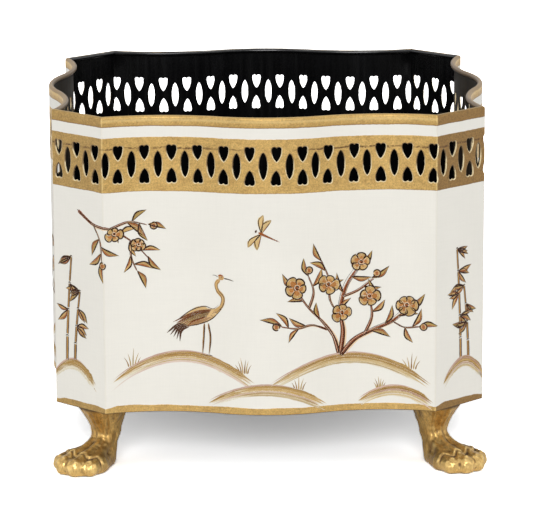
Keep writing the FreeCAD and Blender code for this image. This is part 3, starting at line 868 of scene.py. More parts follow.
def pierce(parts, columns, ends, depth, slot, out):
    """The pierced zone of one skin, cell by cell, with the holes' edges on the outer one."""
    first, last = ends
    left = CELL_START + math.floor((first - CELL_START) / CELL + 1e-9) * CELL
    while left < last - 1e-6:
        middle = left + CELL / 2
        loops = []
        for column, loop in HOLES:
            place = column + round((middle - column) / PLAN.length) * PLAN.length
            if abs(place - middle) < CELL * 0.5:
                outline = grown(loop, BEVEL) if out > 0 else loop
                loops.append([(place + x, ROW_LEVEL + z) for x, z in outline])
                if out > 0 and first <= place < last:
                    hole_edge(parts, place, loop)
        cell_columns = [c for c in columns if left - 1e-5 <= c <= left + CELL + 1e-5]
        if len(cell_columns) > 1:
            skin(parts, *cell_plate(cell_columns, loops), ends, depth, slot, out)
        left += CELL


def build_sheet(node, panels, materials):
    """One wall sheet: outer and inner skins, the pierced row, and its bottom edge."""
    first = PLAN.panel_starts[panels[0]]
    if panels[0] > panels[-1]:
        first -= PLAN.length
    ends = (first, PLAN.panel_starts[panels[-1] + 1])
    columns = sheet_columns(*ends)
    parts = MeshParts()
    top_rows = (ROW_LEVEL + ZONE_HALF, BODY_TOP - ROLL_RADIUS)
    for depth, slot, out, low_rows in (
        (0.0, PAINT_SLOT, 1.0, (0.0, 0.6, 30.0, 60.0, 90.0, 120.0, 150.0, ZONE_LOW)),
        (-SHEET, BLACK_SLOT, -1.0, (0.0, 60.0, 120.0, ZONE_LOW)),
    ):
        for rows in (low_rows, top_rows):
            spots = [(c, r) for r in rows for c in columns]
            skin(parts, spots, grid_faces(len(rows), len(columns)), ends, depth, slot, out)
        pierce(parts, columns, ends, depth, slot, out)
    distance = np.tile(columns, 2)
    points = PLAN.wrap(distance, 0.0, np.repeat((0.0, -SHEET), len(columns)))
    down = np.tile((0.0, 0.0, -1.0), (len(distance), 1))
    parts.add(points, grid_faces(2, len(columns)), BLACK_SLOT, down, **wall_values(distance))
    dress(parts.build(node.replace("_sheet", "_painted"), materials), "ivory_paint", node)


def build_rolled_rim(materials):
    """Top edge of the sheets rolled in over a wire, gold outside and black inside."""
    section = []
    for angle in np.radians(np.linspace(0.0, ROLL_TURN, 25)):
        out = math.cos(angle)
        up = math.sin(angle)
        section.append((ROLL_RADIUS * (out - 1), BODY_TOP + ROLL_RADIUS * (up - 1), out, up))
    section.append((-SHEET, BODY_TOP - 3.9, -0.6, -0.8))
    columns = sheet_columns(0.0, PLAN.length)[:-1]
    distance = np.tile(columns, len(section))
    depth, height, out, up = np.repeat(section, len(columns), axis=0).T
    lumps = np.abs([noise.noise(Vector((d * 0.06, a * 3.0, 2.0))) * 0.1 for d, a in zip(distance, out)])
    points = PLAN.wrap(distance, height - lumps, depth - lumps * np.maximum(out, 0))
    turn = np.repeat(np.linspace(0.0, ROLL_TURN, len(section)), len(columns))
    parts = MeshParts()
    parts.add(points, grid_faces(len(section), len(columns), closed=True), 0,
              world_normals(distance, 0, up, out), turn=turn, around=distance * MM,
              square=squareness(distance), end=end_wall(distance))
    dress(parts.build("rolled_rim", materials), "gold_paint", "rim_bead")


# Foot's leg: height, forward and sideways radius, and how far its middle stands forward
LEG_LEVELS = np.array((
    (-6.0, 7.2, 7.4, 4.2),
    (0.0, 7.4, 7.6, 4.2),
    (8.0, 8.0, 8.2, 3.8),
    (16.0, 9.2, 9.0, 2.7),
    (20.7, 9.9, 9.7, 1.8),
    (25.3, 10.7, 10.5, 1.1),
    (30.3, 12.2, 11.9, 1.2),
    (35.0, 14.2, 13.8, 1.8),
    (41.6, 17.6, 16.8, 2.8),
    (45.0, 19.7, 18.6, 3.3),
    (48.6, 21.8, 20.6, 3.7),
    (52.0, 22.2, 20.9, 3.8),
))
# Rods of the paw and the toes, one side: start and end as forward, sideways and height, then the
# two radii, and for the paw the width over which each melts into the rest
PAW_RODS = (
    ((5.0, 0.0, 10.5), (27.0, 0.0, 5.0), 8.2, 10.6, 6.0),
    ((8.0, 2.5, 6.5), (29.0, 10.0, 4.6), 6.6, 7.8, 4.0),
    ((4.0, 3.0, 4.6), (24.0, 12.6, 4.6), 6.0, 6.4, 3.0),
)
TOES = (
    ((37.0, 5.4, 8.2), (44.0, 5.8, 7.0), 6.1, 6.5),
    ((25.5, 13.9, 7.2), (37.8, 15.2, 6.6), 5.9, 5.9),
)
TENDONS = (
    ((7.5, 1.8, 23.0), (20.0, 4.2, 17.2), (35.0, 5.4, 13.0)),
    ((6.5, 5.4, 20.5), (16.0, 9.4, 14.2), (30.0, 14.0, 11.0)),
)
FOOT_AXIS = 125.9
FOOT_TURN = 6.0
FOOT_STEP = 0.6
FOOT_LOW = (-20.0, -27.0, -1.2)
FOOT_HIGH = (54.0, 27.0, 51.6)
# Feet by corner, and the sides that they stand towards: right or left, back or front
FEET = (("front_right", 1, -1), ("back_right", 1, 1), ("back_left", -1, 1), ("front_left", -1, -1))


class Lattice:
    """Smooth repeatable noise over arrays of points."""

    SIDE = 32

    def __init__(self, seed):
        self.values = np.random.RandomState(seed).uniform(-1, 1, (self.SIDE,) * 3)

    def at(self, x, y=0.0, z=0.0):
        whole = []
        part = []
        for axis in np.broadcast_arrays(x, y, z):
            low = np.floor(axis)
            share = axis - low
            whole.append(low.astype(int))
            part.append(share * share * (3 - 2 * share))
        return read_between(self.values, whole, part)


def read_between(grid, low, part):
    """Values of a grid between its points, from whole places and the parts to the next ones."""
    total = 0.0
    for step in itertools.product((0, 1), repeat=3):
        weight = 1.0
        for share, ahead in zip(part, step):
            weight = weight * (share if ahead else 1 - share)
        corner = tuple((place + ahead) % side for place, ahead, side in zip(low, step, grid.shape))
        total = total + grid[corner] * weight
    return total


FUR = Lattice(3)


def blend(first, second, width):
    """Smooth union of two distance fields."""
    share = np.clip(0.5 + 0.5 * (second - first) / width, 0, 1)
    return second * (1 - share) + first * share - width * share * (1 - share)


def capsule(points, start, end, start_radius, end_radius):
    """Distance to a rod with round ends."""
    start = np.asarray(start, float)
    run = np.asarray(end, float) - start
    share = np.clip(((points - start) @ run) / (run @ run), 0, 1)
    reach = np.linalg.norm(points - start - share[..., None] * run, axis=-1)
    return reach - (start_radius + (end_radius - start_radius) * share)


def bell(value, width):
    return np.exp(-(value / width) ** 2)


def rising(value, low, width):
    """Nothing below a level, one above the level and a width."""
    return np.clip((value - low) / width, 0, 1)


def toe_fold(y):
    """How far forward the fold over the toes runs."""
    return 37.2 + 1.6 * np.cos(2 * math.pi * y / 10.8) - 0.019 * y ** 2 + 0.5 * FUR.at(y * 0.3, 0.0, 9.0)


def leg_field(x, y, z):
    """Distance to the flared leg with its locks of fur, which end in points over the ankle."""
    deep, wide, middle = (np.interp(z, LEG_LEVELS[:, 0], column) for column in LEG_LEVELS[:, 1:].T)
    lean = x - middle
    leg = (np.sqrt((lean / deep) ** 2 + (y / wide) ** 2) - 1) * np.minimum(wide, deep) * 0.85
    angle = np.arctan2(y, lean)
    locks = np.abs((angle * 9 / math.pi + 0.35 * FUR.at(angle * 3)) % 2 - 1)
    lock_tips = 20.5 + 5.5 * locks + 1.6 * FUR.at(angle * 5, 7.0)
    fur = 0.4 * FUR.at(angle * 12, z * 0.15) + 0.3 * FUR.at(angle * 26, z * 0.26, 3.0)
    furred = 1 / (1 + np.exp(-(z - lock_tips) / 0.6))
    return leg - 0.6 * furred * np.clip((31.0 - z) / 8.0, 0, 1) - fur * rising(z, 12.0, 8.0)


def carving(x, y, z):
    """Depth of the carved lines: the fold over the toes, nails, brushed strokes and hammering."""
    fold = toe_fold(y)
    broken = 0.8 + 0.5 * FUR.at(3.0, y * 0.5)
    cut = rising(z, 5.5, 3.0) * (1.3 * bell(x - fold, 0.9) - 0.75 * broken * bell(x - fold + 2.0, 1.5))
    side = np.abs(y)
    nearest = np.where(side < 10.0, side - 5.6, side - 14.8)
    tip_line = np.where(side < 10.0, 44.5, 38.6)
    nail = np.sqrt(nearest ** 2 + (x - tip_line) ** 2)
    cut = cut + 0.75 * bell(nail - 3.0, 0.55) * (x > tip_line - 3.2) * (z > 4.0)
    strokes = FUR.at(x * 0.24, nearest * 1.2 + z * 0.35, z * 0.3) * bell(x - tip_line - 2.0, 5.0)
    cut = cut + 0.75 * strokes * rising(z, 1.5, 2.0)
    brushed = FUR.at(x * 0.2 + 11, y * 1.1 + 0.06 * x * np.sign(y), z * 0.5)
    fine = FUR.at(x * 0.34 + 5, y * 2.0 + 0.1 * x * np.sign(y), z * 0.9)
    on_paw = np.clip((24 - z) / 6, 0, 1) * rising(x, 6.0, 5.0)
    return cut + (0.5 * brushed + 0.34 * fine) * on_paw + 0.18 * FUR.at(x * 0.7, y * 0.7, z * 0.7)


def foot_field(points):
    """Distance to a lion's paw foot, with x forward over the toes and the sole on z = 0."""
    x, y, z = np.moveaxis(points, -1, 0)
    mirrored = np.stack((x, np.abs(y), z), axis=-1)
    field = leg_field(x, y, z)
    for *rod, width in PAW_RODS:
        field = blend(field, capsule(mirrored, *rod), width)
    for ankle, bend, knuckle in TENDONS:
        behind = capsule(mirrored, ankle, bend, 2.4, 2.1)
        before = capsule(mirrored, bend, knuckle, 2.1, 2.5)
        field = blend(field, np.minimum(behind, before), 4.6)
    inner, outer = (capsule(mirrored, *toe) for toe in TOES)
    field = blend(field, blend(inner, outer, 4.6), 3.4)
    for end, radius in (((37.4, 12.8, 4.8), 5.7), ((43.6, 5.8, 5.0), 6.2)):
        start = (end[0], -end[1], end[2])
        field = blend(field, capsule(points, start, end, radius, radius), 3.4)
    field = -blend(-field - carving(x, y, z), z, 0.8)
    return np.maximum(field, z - 51.0)


def surface_net(field):
    """Grid places and quads over the zero level of a field on a regular grid."""
    inside = field < 0
    total = np.zeros(tuple(n - 1 for n in field.shape) + (3,))
    count = np.zeros(total.shape[:3])

    def neighbours(spots, first, second, steps):
        """The cells that touch each crossed edge, and whether they lie in the grid."""
        for i, j in steps:
            cell = spots.copy()
            cell[:, first] -= i
            cell[:, second] -= j
            yield cell, np.all((cell >= 0) & (cell < np.array(count.shape)), axis=1)

    crossings = []
    for axis in range(3):
        ahead = tuple(slice(1, None) if a == axis else slice(None) for a in range(3))
        here = tuple(slice(None, -1) if a == axis else slice(None) for a in range(3))
        change = inside[here] != inside[ahead]
        spots = np.argwhere(change)
        start = field[here][change]
        end = field[ahead][change]
        where = spots.astype(float)
        where[:, axis] += start / (start - end)
        first, second = (axis + 1) % 3, (axis + 2) % 3
        crossings.append((first, second, spots, inside[here][change]))
        for cell, fits in neighbours(spots, first, second, ((0, 0), (0, 1), (1, 0), (1, 1))):
            index = tuple(cell[fits].T)
            np.add.at(total, index, where[fits])
            np.add.at(count, index, 1)
    used = count > 0
    number = np.full(count.shape, -1)
    number[used] = np.arange(used.sum())
    faces = []
    for first, second, spots, starts_inside in crossings:
        around = list(neighbours(spots, first, second, ((0, 0), (1, 0), (1, 1), (0, 1))))
        fits = np.all([inside_grid for cell, inside_grid in around], axis=0)
        quads = np.stack([number[tuple(cell[fits].T)] for cell, inside_grid in around], axis=1)
        quads[~starts_inside[fits]] = quads[~starts_inside[fits]][:, ::-1]
        faces.append(quads)
    return total[used] / count[used][:, None], np.concatenate(faces)


def sampled(grid, spots):
    """Values of a grid at fractional places, read in a straight line between its points."""
    low = np.clip(np.floor(spots).astype(int), 0, np.array(grid.shape) - 2)
    return read_between(grid, low.T, (spots - low).T)


def softened(grid, times):
    """A grid blurred a few times with its neighbours."""
    for _ in range(times):
        for axis in range(3):
            grid = (np.roll(grid, 1, axis) + 2 * grid + np.roll(grid, -1, axis)) / 4
    return grid


def paw_pattern():
    """Points, faces, normals, the darkening from patina in the hollows and painted shadow at the ends, and
    the brightening from wear and painted highlight where the casting is proud and on the toes, for one foot.
    """
    axes = [np.arange(a, b, FOOT_STEP) for a, b in zip(FOOT_LOW, FOOT_HIGH)]
    points = np.stack(np.meshgrid(*axes, indexing="ij"), axis=-1)
    field = softened(foot_field(points), 1)
    spots, faces = surface_net(field)
    places = np.asarray(FOOT_LOW) + spots * FOOT_STEP
    normals = unit_rows(np.column_stack([sampled(slope, spots) for slope in np.gradient(field, FOOT_STEP)]))
    smooth = softened(field, 4)
    curve = sum(np.gradient(np.gradient(smooth, FOOT_STEP, axis=a), FOOT_STEP, axis=a) for a in range(3))
    bend = sampled(curve, spots)
    rub = np.clip((bend - 0.16) * 2.8, 0, 1)
    ahead, sideways, up = places.T
    instep = bell(ahead - 21.0, 11.0) * bell(up - 14.0, 7.0) * (1 - rub)
    # Painted shadow: dark along the sole's edge and at the top of the leg under the band.
    ends = np.clip((1.5 - up) / 1.2, 0, 1) + rising(up, 44.8, 2.2)
    groove = bell(ahead - toe_fold(sideways) - 0.2, 0.8) * rising(up, 5.5, 3.0)
    hollow = np.maximum.reduce((np.clip(-bend * 2.6, 0, 1), 0.5 * instep, 0.85 * ends, 0.9 * groove))
    # Painted highlight: the toes lighter low down towards their fronts.
    toe_highlight = bell(up - 5.0, 7.0) * rising(ahead, 22.0, 9.0) * (1 - hollow)
    return places, faces.tolist(), normals, hollow, np.maximum(rub, 0.6 * toe_highlight)


def build_feet(materials):
    """The four paw feet, each turned a little from the diagonal towards its front or back wall."""
    places, faces, normals, hollow, rub = paw_pattern()
    for name, side, ahead in FEET:
        angle = math.atan2(ahead, side) + math.radians(FOOT_TURN) * side * ahead
        turn = np.array(((math.cos(angle), math.sin(angle), 0.0), (-math.sin(angle), math.cos(angle), 0.0),
                         (0.0, 0.0, 1.0)))
        parts = MeshParts()
        put = places @ turn + np.array((side * FOOT_AXIS, ahead * FOOT_AXIS, 0.0))
        parts.add(put * MM, faces, 0, normals @ turn, hollow=hollow, rub=rub)
        dress(parts.build("paw_" + name, materials), "cast_gold", "foot_" + name)


def smooth_path(points, step):
    """Even points, about a step apart, along a smooth curve through the given ones."""
    points = np.asarray(points, float)
    padded = np.vstack((2 * points[0] - points[1], points, 2 * points[-1] - points[-2]))
    dense = []
    share = np.linspace(0, 1, 16, endpoint=False)[:, None]
    for a, b, c, d in zip(padded, padded[1:], padded[2:], padded[3:]):
        dense.append(0.5 * (2 * b + (c - a) * share + (2 * a - 5 * b + 4 * c - d) * share ** 2
                            + (3 * b - a - 3 * c + d) * share ** 3))
    dense = np.vstack(dense + [points[-1:]])
    run = run_along(dense)
    marks = np.linspace(0, run[-1], max(3, int(math.ceil(run[-1] / step)) + 1))
    return np.column_stack([np.interp(marks, run, column) for column in dense.T])


def run_along(path):
    """How far along a path each of its points lies."""
    return np.concatenate(([0.0], np.cumsum(np.hypot(*np.diff(path, axis=0).T))))


def heading(degrees):
    """A direction on the wall and the one square to it."""
    turn = math.radians(degrees)
    return np.array((math.cos(turn), math.sin(turn))), np.array((-math.sin(turn), math.cos(turn)))


def swelling(first, last):
    """Width profile that swells from nothing over the first share and thins over the last."""
    def profile(share):
        start = np.clip(share / first, 0, 1) ** 0.55
        end = np.clip((1 - share) / last, 0, 1) ** 0.75
        return np.maximum(start * end, 0.04)
    return profile


def thinning(share):
    """Width profile of a stem, thinner to its tip."""
    return 1 - 0.7 * share


LEAF = swelling(0.45, 0.55)
BLADE = swelling(0.12, 0.85)
ROUND_ENDS = swelling(0.06, 0.06)
PEN = swelling(0.15, 0.4)
TO_TIP = swelling(0.05, 1.0)

# Strokes of a stem: aside and up by its width, share of its width, least width, then the stroke
STEM_STROKES = (
    (0.55, -0.4, 1.1, 0.0, AMBER, 0.5, 1, TO_TIP, 0.5, (0.1, 0.5)),
    (0.0, 0.0, 1.15, 0.0, srgb(132, 66, 30), 1.0, 1, thinning, 0.0),
    (0.3, -0.2, 0.5, 0.0, srgb(96, 46, 22), 1.0, 2, thinning, 0.1),
    (-0.12, 0.1, 0.13, 0.35, srgb(222, 170, 136), 0.7, 3, TO_TIP, 0.4),
    (0.5, -0.35, 0.3, 0.7, INK, 1.0, 3, thinning, 0.05),
    (-0.5, 0.35, 0.22, 0.55, INK, 0.9, 3, thinning, 0.1),
)
# Broad strokes of a hill: start and end shares, drop, sag, then the stroke
HILL_STROKES = (
    (0.06, 0.95, 5.0, 1.0, 7.0, srgb(206, 178, 126), 0.42, 0, swelling(0.5, 0.12), 1.0, (0.1, 0.12)),
    (0.04, 0.95, 3.2, 0.8, 5.6, srgb(190, 154, 96), 0.75, 0, swelling(0.5, 0.12), 0.6, (0.1, 0.12)),
    (0.02, 0.93, 2.0, 0.6, 4.4, srgb(168, 130, 70), 1.0, 1, swelling(0.5, 0.1), 0.3, (0.05, 0.06)),
)
HILL_TINTS = (srgb(166, 126, 64), srgb(186, 148, 86), srgb(184, 142, 122), srgb(146, 108, 56))
# Strokes of a bamboo joint: aside by its width, share of its width, then the stroke
JOINT_STROKES = (
    (0.0, 1.2, srgb(176, 134, 76), 1.0, 1, ROUND_ENDS, 0.15),
    (0.45, 0.4, INK, 0.9, 2, ROUND_ENDS, 0.15),
    (-0.5, 0.28, INK, 0.7, 2, ROUND_ENDS, 0.2),
)
JOINT_RING = ((-0.8, 0.3), (0.0, 0.9), (0.8, 0.3))
# Strokes of a petal: reach and width by the flower's size, then the stroke, and its rim's reach and side
PETAL_STROKES = (
    (0.52, 0.5, srgb(198, 160, 100), 1.0, 5, swelling(0.55, 0.1), 0.1),
    (0.42, 0.32, srgb(170, 104, 50), 0.9, 5, swelling(0.4, 0.35), 0.35),
)
PETAL_RIM = ((0.16, 0.1), (0.33, 0.25), (0.48, 0.2), (0.545, 0.0), (0.48, -0.2), (0.33, -0.25), (0.16, -0.1))
# Strokes of a crane 60 mm high, about its left foot: spots, width, then the stroke. Pen lines keep
# their width at any size.
SHANK = srgb(150, 108, 58)
PLUMAGE = srgb(206, 166, 108)
CRANE_NECK = ((9, 32), (14.5, 37.5), (15.5, 44), (11.5, 49), (10.5, 54), (13.5, 57.6))
CRANE_BODY = (
    (((1, 24), (0.4, 12), (-0.6, 0)), 1.3, SHANK, 1.0, 2, PEN, 0.05),
    (((4, 24), (5.6, 13), (4.4, 0)), 1.3, SHANK, 1.0, 2, PEN, 0.05),
    (((1.5, 24), (0.9, 12), (-0.1, 0)), 0.7, INK, 1.0, 3, PEN, 0.05),
    (((4.5, 24), (6.1, 13), (4.9, 0)), 0.7, INK, 1.0, 3, PEN, 0.05),
    (((-0.6, 0), (2.6, -0.8)), 0.6, INK, 1.0, 2, PEN, 0.05),
    (((-0.6, 0), (-3.0, -0.5)), 0.55, INK, 1.0, 2, PEN, 0.05),
    (((4.4, 0), (7.6, -0.8)), 0.6, INK, 1.0, 2, PEN, 0.05),
    (((4.4, 0), (2.0, -0.5)), 0.55, INK, 1.0, 2, PEN, 0.05),
    (((-17, 22), (-6, 29), (5, 31), (11, 35)), 12.5, srgb(214, 178, 122), 0.95, 2, swelling(0.5, 0.3), 0.2),
    (((-14, 21), (-3, 24.5), (7, 29)), 4.2, srgb(150, 104, 62), 0.75, 3, LEAF, 0.4),
)
CRANE_HEAD = (
    (CRANE_NECK, 3.0, PLUMAGE, 1.0, 4, ROUND_ENDS, 0.1),
    (CRANE_NECK[:3], 4.4, PLUMAGE, 1.0, 4, swelling(0.01, 0.9), 0.1),
    ([(x + 0.9, y) for x, y in CRANE_NECK], 0.5, INK, 0.85, 5, PEN, 0.05),
    ([(x - 1.0, y) for x, y in CRANE_NECK[1:]], 0.4, INK, 0.6, 5, PEN, 0.05),
    (((12, 58.3), (14.4, 58.8), (16.6, 58)), 3.4, srgb(206, 164, 108), 1.0, 5, ROUND_ENDS, 0.1),
    (((12, 60), (14, 60.6), (15.8, 59.8)), 1.2, RUST, 1.0, 6, ROUND_ENDS, 0.0),
    (((16.2, 58.4), (20, 57.8), (24, 56.6)), 0.85, INK, 1.0, 6, PEN, 0.05),
    (((12, 59.2), (9.4, 60.4), (7.4, 60.2)), 0.5, INK, 1.0, 6, PEN, 0.05),
    (((14.5, 58.9), (14.9, 59.0), (15.3, 58.9)), 0.8, INK, 1.0, 7, ROUND_ENDS, 0.0),
    (((-20, 24.5), (-9, 33), (1, 36.5), (8, 35), (12.6, 38.5)), 0.75, INK, 0.9, 5, PEN, 0.05),
    (((-12, 21), (-2, 23.2), (7, 27.5), (13.6, 34.5), (16.4, 40.5)), 0.8, INK, 0.95, 5, PEN, 0.05),
)
# Plants by stem (width, leaves, spots from the root), blossoms (spot, size) and buds (spot, angle)
SHRUB = (
    (
        (2.8, 2, ((0, 0), (-4, 14), (-13, 27), (-24, 38), (-34, 53))),
        (3.0, 3, ((1, 0), (4, 18), (1, 36), (6, 54), (16, 69))),
        (2.6, 3, ((2, 0), (13, 11), (27, 20), (41, 25), (53, 35))),
        (1.6, 3, ((-9, 21), (-21, 25), (-34, 22), (-45, 25))),
        (1.4, 1, ((-24, 38), (-21, 50), (-24, 63))),
        (1.5, 2, ((3, 28), (-6, 43), (-8, 60), (-14, 74))),
        (1.4, 1, ((4, 46), (15, 49), (26, 59))),
        (1.6, 1, ((19, 15), (25, 29), (24, 43))),
        (1.3, 2, ((41, 25), (51, 20), (62, 21))),
    ),
    ((-34, 54, 15.5), (17, 71, 16.5), (-9, 55, 15.0), (24, 44, 15.5), (53, 37, 14.5), (2, 33, 13.5)),
    ((-46, 25, 180), (-24, 65, 80), (27, 60, 40), (63, 21, 0)),
)
SPRAY = (
    (
        (2.4, 4, ((0, 0), (15, -7), (32, -10), (48, -20), (61, -33))),
        (1.4, 3, ((15, -7), (22, -20), (24, -34))),
        (1.4, 3, ((32, -10), (46, -5), (60, -8))),
        (1.2, 2, ((48, -20), (47, -32), (52, -44))),
    ),
    ((34, -15, 12.5), (53, -24, 10.5)),
    ((24, -36, -80), (62, -8, -10)),
)


class Painter:
    """Brush strokes as thin ribbons of paint on the walls, by distance around and height."""

    def __init__(self, seed):
        self.rng = random.Random(seed)
        self.parts = MeshParts()
        self.count = 0

    def vary(self, colour):
        """A tint somewhat lighter or darker."""
        factor = 1 + self.rng.uniform(-0.12, 0.12)
        return tuple(min(1.0, c * factor) for c in colour[:3]) + (1.0,)

    def stroke(self, points, width, tint, cover, layer, profile, dry, fade=(0.0, 0.0)):
        """One brush stroke along the points, as wide as given at its fullest."""
        path = smooth_path(points, 0.6 if width < 2 else 1.0)
        if (PLAN.fold_distance(path[:, 0]) < 2.0).any():
            path = smooth_path(points, 0.3)
        count = len(path)
        share = np.linspace(0, 1, count)
        run = unit_rows(np.gradient(path, axis=0))
        side = np.column_stack((-run[:, 1], run[:, 0]))
        rows = (-1.0, -0.55, 0.0, 0.55, 1.0) if width > 0.9 else (-1.0, 0.0, 1.0)
        wobble = self.rng.uniform(0, 50)
        uneven = np.array([noise.noise(Vector((s * count * 0.14 + wobble, 0.0, 0.0))) for s in share])
        half = profile(share) * width / 2 * (1 + 0.25 * uneven)
        distance, height = np.vstack([path + side * (half * row)[:, None] for row in rows]).T
        depth = 0.03 + 0.025 * layer + 0.0015 * (self.count % 16)
        self.count += 1
        start, end = (np.clip(near / max(reach, 1e-6), 0, 1) for near, reach in zip((share, 1 - share), fade))
        along = run_along(path) + self.rng.uniform(0, 400)
        total = len(distance)
        self.parts.add(
            PLAN.wrap(distance, height, depth), grid_faces(len(rows), count), 0,
            world_normals(distance, 0, 0, 1), tint=np.tile(self.vary(tint), (total, 1)),
            cover=np.tile(cover * np.minimum(start, end), len(rows)), across=np.repeat(rows, count),
            along=np.tile(along, len(rows)), wide=np.full(total, width), dry=np.full(total, dry))

    def line(self, points, width=1.0, tint=INK, layer=5, cover=1.0):
        self.stroke(points, width, tint, cover, layer, PEN, 0.05)

    def leaf(self, start, angle, length, tint, bend=0.12):
        """A pointed leaf: a light body, a rust side, and a dark edge that ends in a point."""
        ahead, square = heading(angle)
        start = np.array(start)
        middle = start + ahead * length * 0.5 + square * bend * length * self.rng.choice((-1, 1))
        tip = start + ahead * length
        wide = length * self.rng.uniform(0.24, 0.31)
        aside = square * wide * self.rng.choice((-1, 1))
        inner = (start, middle - aside * 0.2, tip - ahead * length * 0.12)
        self.stroke((start, middle, tip), wide, tint, 1.0, 3, LEAF, 0.12)
        self.stroke(inner, wide * 0.36, RUST, 0.85, 3, LEAF, 0.3)
        self.line((start, middle + aside * 0.45, tip + ahead * 0.6), 1.15, INK, 4)
        self.line((start, middle - aside * 0.4275, tip), 0.55, INK, 4, 0.85)

    def blossom(self, heart, size):
        """An open flower: rounded petals, rust towards the heart and edged in dark, round a coil."""
        petals = self.rng.choice((5, 5, 6))
        turn = self.rng.uniform(0, 6)
        squash = self.rng.uniform(0.82, 1.0)
        heart = np.array(heart)

        def spots(out, across, *places):
            return [heart + out * size * reach + across * size * aside for reach, aside in places]

        for i in range(petals):
            angle = turn + (2 * math.pi * i + self.rng.uniform(-0.5, 0.5)) / petals
            out = np.array((math.cos(angle), math.sin(angle) * squash)) * self.rng.uniform(0.8, 1.2)
            across = np.array((-out[1], out[0]))
            for reach, wide, *rest in PETAL_STROKES:
                self.stroke(spots(out, across, (0, 0), (0.3, 0), (reach, 0)), size * wide, *rest)
            rim = spots(out, across, *PETAL_RIM)
            self.stroke(rim, self.rng.uniform(0.75, 1.25), INK, 1.0, 6, swelling(0.2, 0.3), 0.05)
        coil = []
        for i in range(12):
            reach = size * (0.03 + 0.012 * i)
            angle = turn + i * 0.75
            coil.append(heart + reach * np.array((math.cos(angle), math.sin(angle) * squash)))
        half = np.array((size * 0.13, 0.0))
        middle = (heart - half, heart + (0, 0.2), heart + half)
        self.stroke(middle, size * 0.28, srgb(140, 72, 34), 0.9, 6, ROUND_ENDS, 0.2)
        self.stroke(coil, 0.85, INK, 1.0, 7, ROUND_ENDS, 0.05)
        self.stroke(np.array(coil[4:]) + (0.4, 0.5), 0.5, srgb(236, 208, 170), 0.8, 7, ROUND_ENDS, 0.1)

    def bud(self, root, angle, size):
        """A round bud, rust at the heart and edged in dark."""
        heart = np.array(root) + size * 0.45 * heading(angle)[0]

        def dab(reach, width, tint, cover, profile, dry):
            half = np.array((size * reach, 0.0))
            self.stroke((heart - half, heart, heart + half), size * width, tint, cover, 4, profile, dry)

        dab(0.5, 1.0, srgb(198, 156, 96), 1.0, swelling(0.5, 0.5), 0.1)
        dab(0.3, 0.55, RUST, 0.85, ROUND_ENDS, 0.3)
        ring = np.linspace(2.6, 8.6, 9) + math.radians(angle)
        ring = heart + size * 0.5 * np.column_stack((np.cos(ring), np.sin(ring)))
        self.stroke(ring, 1.0, INK, 1.0, 5, ROUND_ENDS, 0.05)

    def stem(self, spots, width, leaves):
        """A crooked stem through the spots, with leaves by turns on either side."""
        for x, y, share, least, *rest in STEM_STROKES:
            self.stroke([(a + width * x, b + width * y) for a, b in spots], max(least, width * share), *rest)
        path = smooth_path(spots, 2.0)
        for i in range(leaves):
            at = int((0.4 + 0.6 * (i + 0.5) / leaves) * (len(path) - 2))
            along, up = path[at + 1] - path[at]
            angle = math.degrees(math.atan2(up, along)) + (1 if i % 2 else -1) * self.rng.uniform(32, 58)
            self.leaf(path[at], angle, self.rng.uniform(12, 17), self.rng.choice((OLIVE, TAN)))

    def plant(self, s, h, size, flip, stems, blossoms, buds):
        """Stems, buds and blossoms from tables, drawn from a root at a size, and mirrored if asked."""
        def put(x, y):
            place = s + flip * size * x + self.rng.uniform(-0.8, 0.8)
            return place, h + size * y + self.rng.uniform(-0.8, 0.8)

        for width, leaves, spots in stems:
            self.stem([put(x, y) for x, y in spots], width * size, leaves)
            (x0, y0), (x1, y1) = spots[-2:]
            angle = math.degrees(math.atan2(y1 - y0, flip * (x1 - x0)))
            self.leaf(put(x1, y1), angle + self.rng.uniform(-8, 8), self.rng.uniform(14, 18) * size, OLIVE)
        for x, y, angle in buds:
            self.bud(put(x, y), angle if flip > 0 else 180 - angle, 5.4 * size)
        for x, y, across in blossoms:
            self.blossom(put(x, y), across * size)

    def hill(self, s, h, width, height):
        """A rounded hill: broad dry strokes under a mauve line. Gives the ground's height by place."""
        left = s - width / 2

        def top(place):
            share = min(max((place - left) / width, 0.0), 1.0)
            return h + height * math.sin(math.pi * share) ** 0.85

        def ridge(start, end, drop, sag=0.0):
            places = [left + width * (start + (end - start) * i / 9) for i in range(10)]
            return [(place, top(place) - drop - sag * i / 9) for i, place in enumerate(places)]

        for start, end, drop, sag, *rest in HILL_STROKES:
            self.stroke(ridge(start, end, drop, sag), *rest)
        for _ in range(14):
            start = self.rng.uniform(0.0, 0.3)
            end = self.rng.uniform(0.84, 1.0)
            deep = self.rng.uniform(0.3, 1.0) ** 1.4
            tint = self.rng.choice(HILL_TINTS)
            cover, layer = (1.0 - 0.6 * deep, 0) if deep > 0.5 else (1.0, 2)
            path = ridge(start, end, 7.6 * deep, 1.6 * deep)
            wide = self.rng.uniform(0.7, 1.5)
            self.stroke(path, wide, tint, cover, layer, swelling(0.3, 0.12), 0.5, (0.2, 0.05))
        self.stroke(ridge(0.02, 0.8, 0.1), 1.3, MAUVE, 0.8, 2, swelling(0.3, 0.5), 0.5, (0.1, 0.25))
        return lambda place: top(place) - 1.0

    def grass(self, s, h, size):
        """A tuft of fine blades, spread out at the ground."""
        blades = self.rng.randint(4, 6)
        for i in range(blades):
            share = i / (blades - 1) - 0.5
            lean = share * 1.1 + self.rng.uniform(-0.1, 0.1)
            reach = size * (1.0 - 0.9 * abs(share)) * self.rng.uniform(0.8, 1.1)
            foot = s + share * size * 0.42
            bend = lean * reach
            path = ((foot, h), (foot + bend * 0.25, h + reach * 0.5), (foot + bend * 0.8, h + reach))
            self.stroke(path, 1.05, self.rng.choice((TAN, OLIVE, srgb(150, 112, 60))), 1.0, 1, BLADE, 0.1)

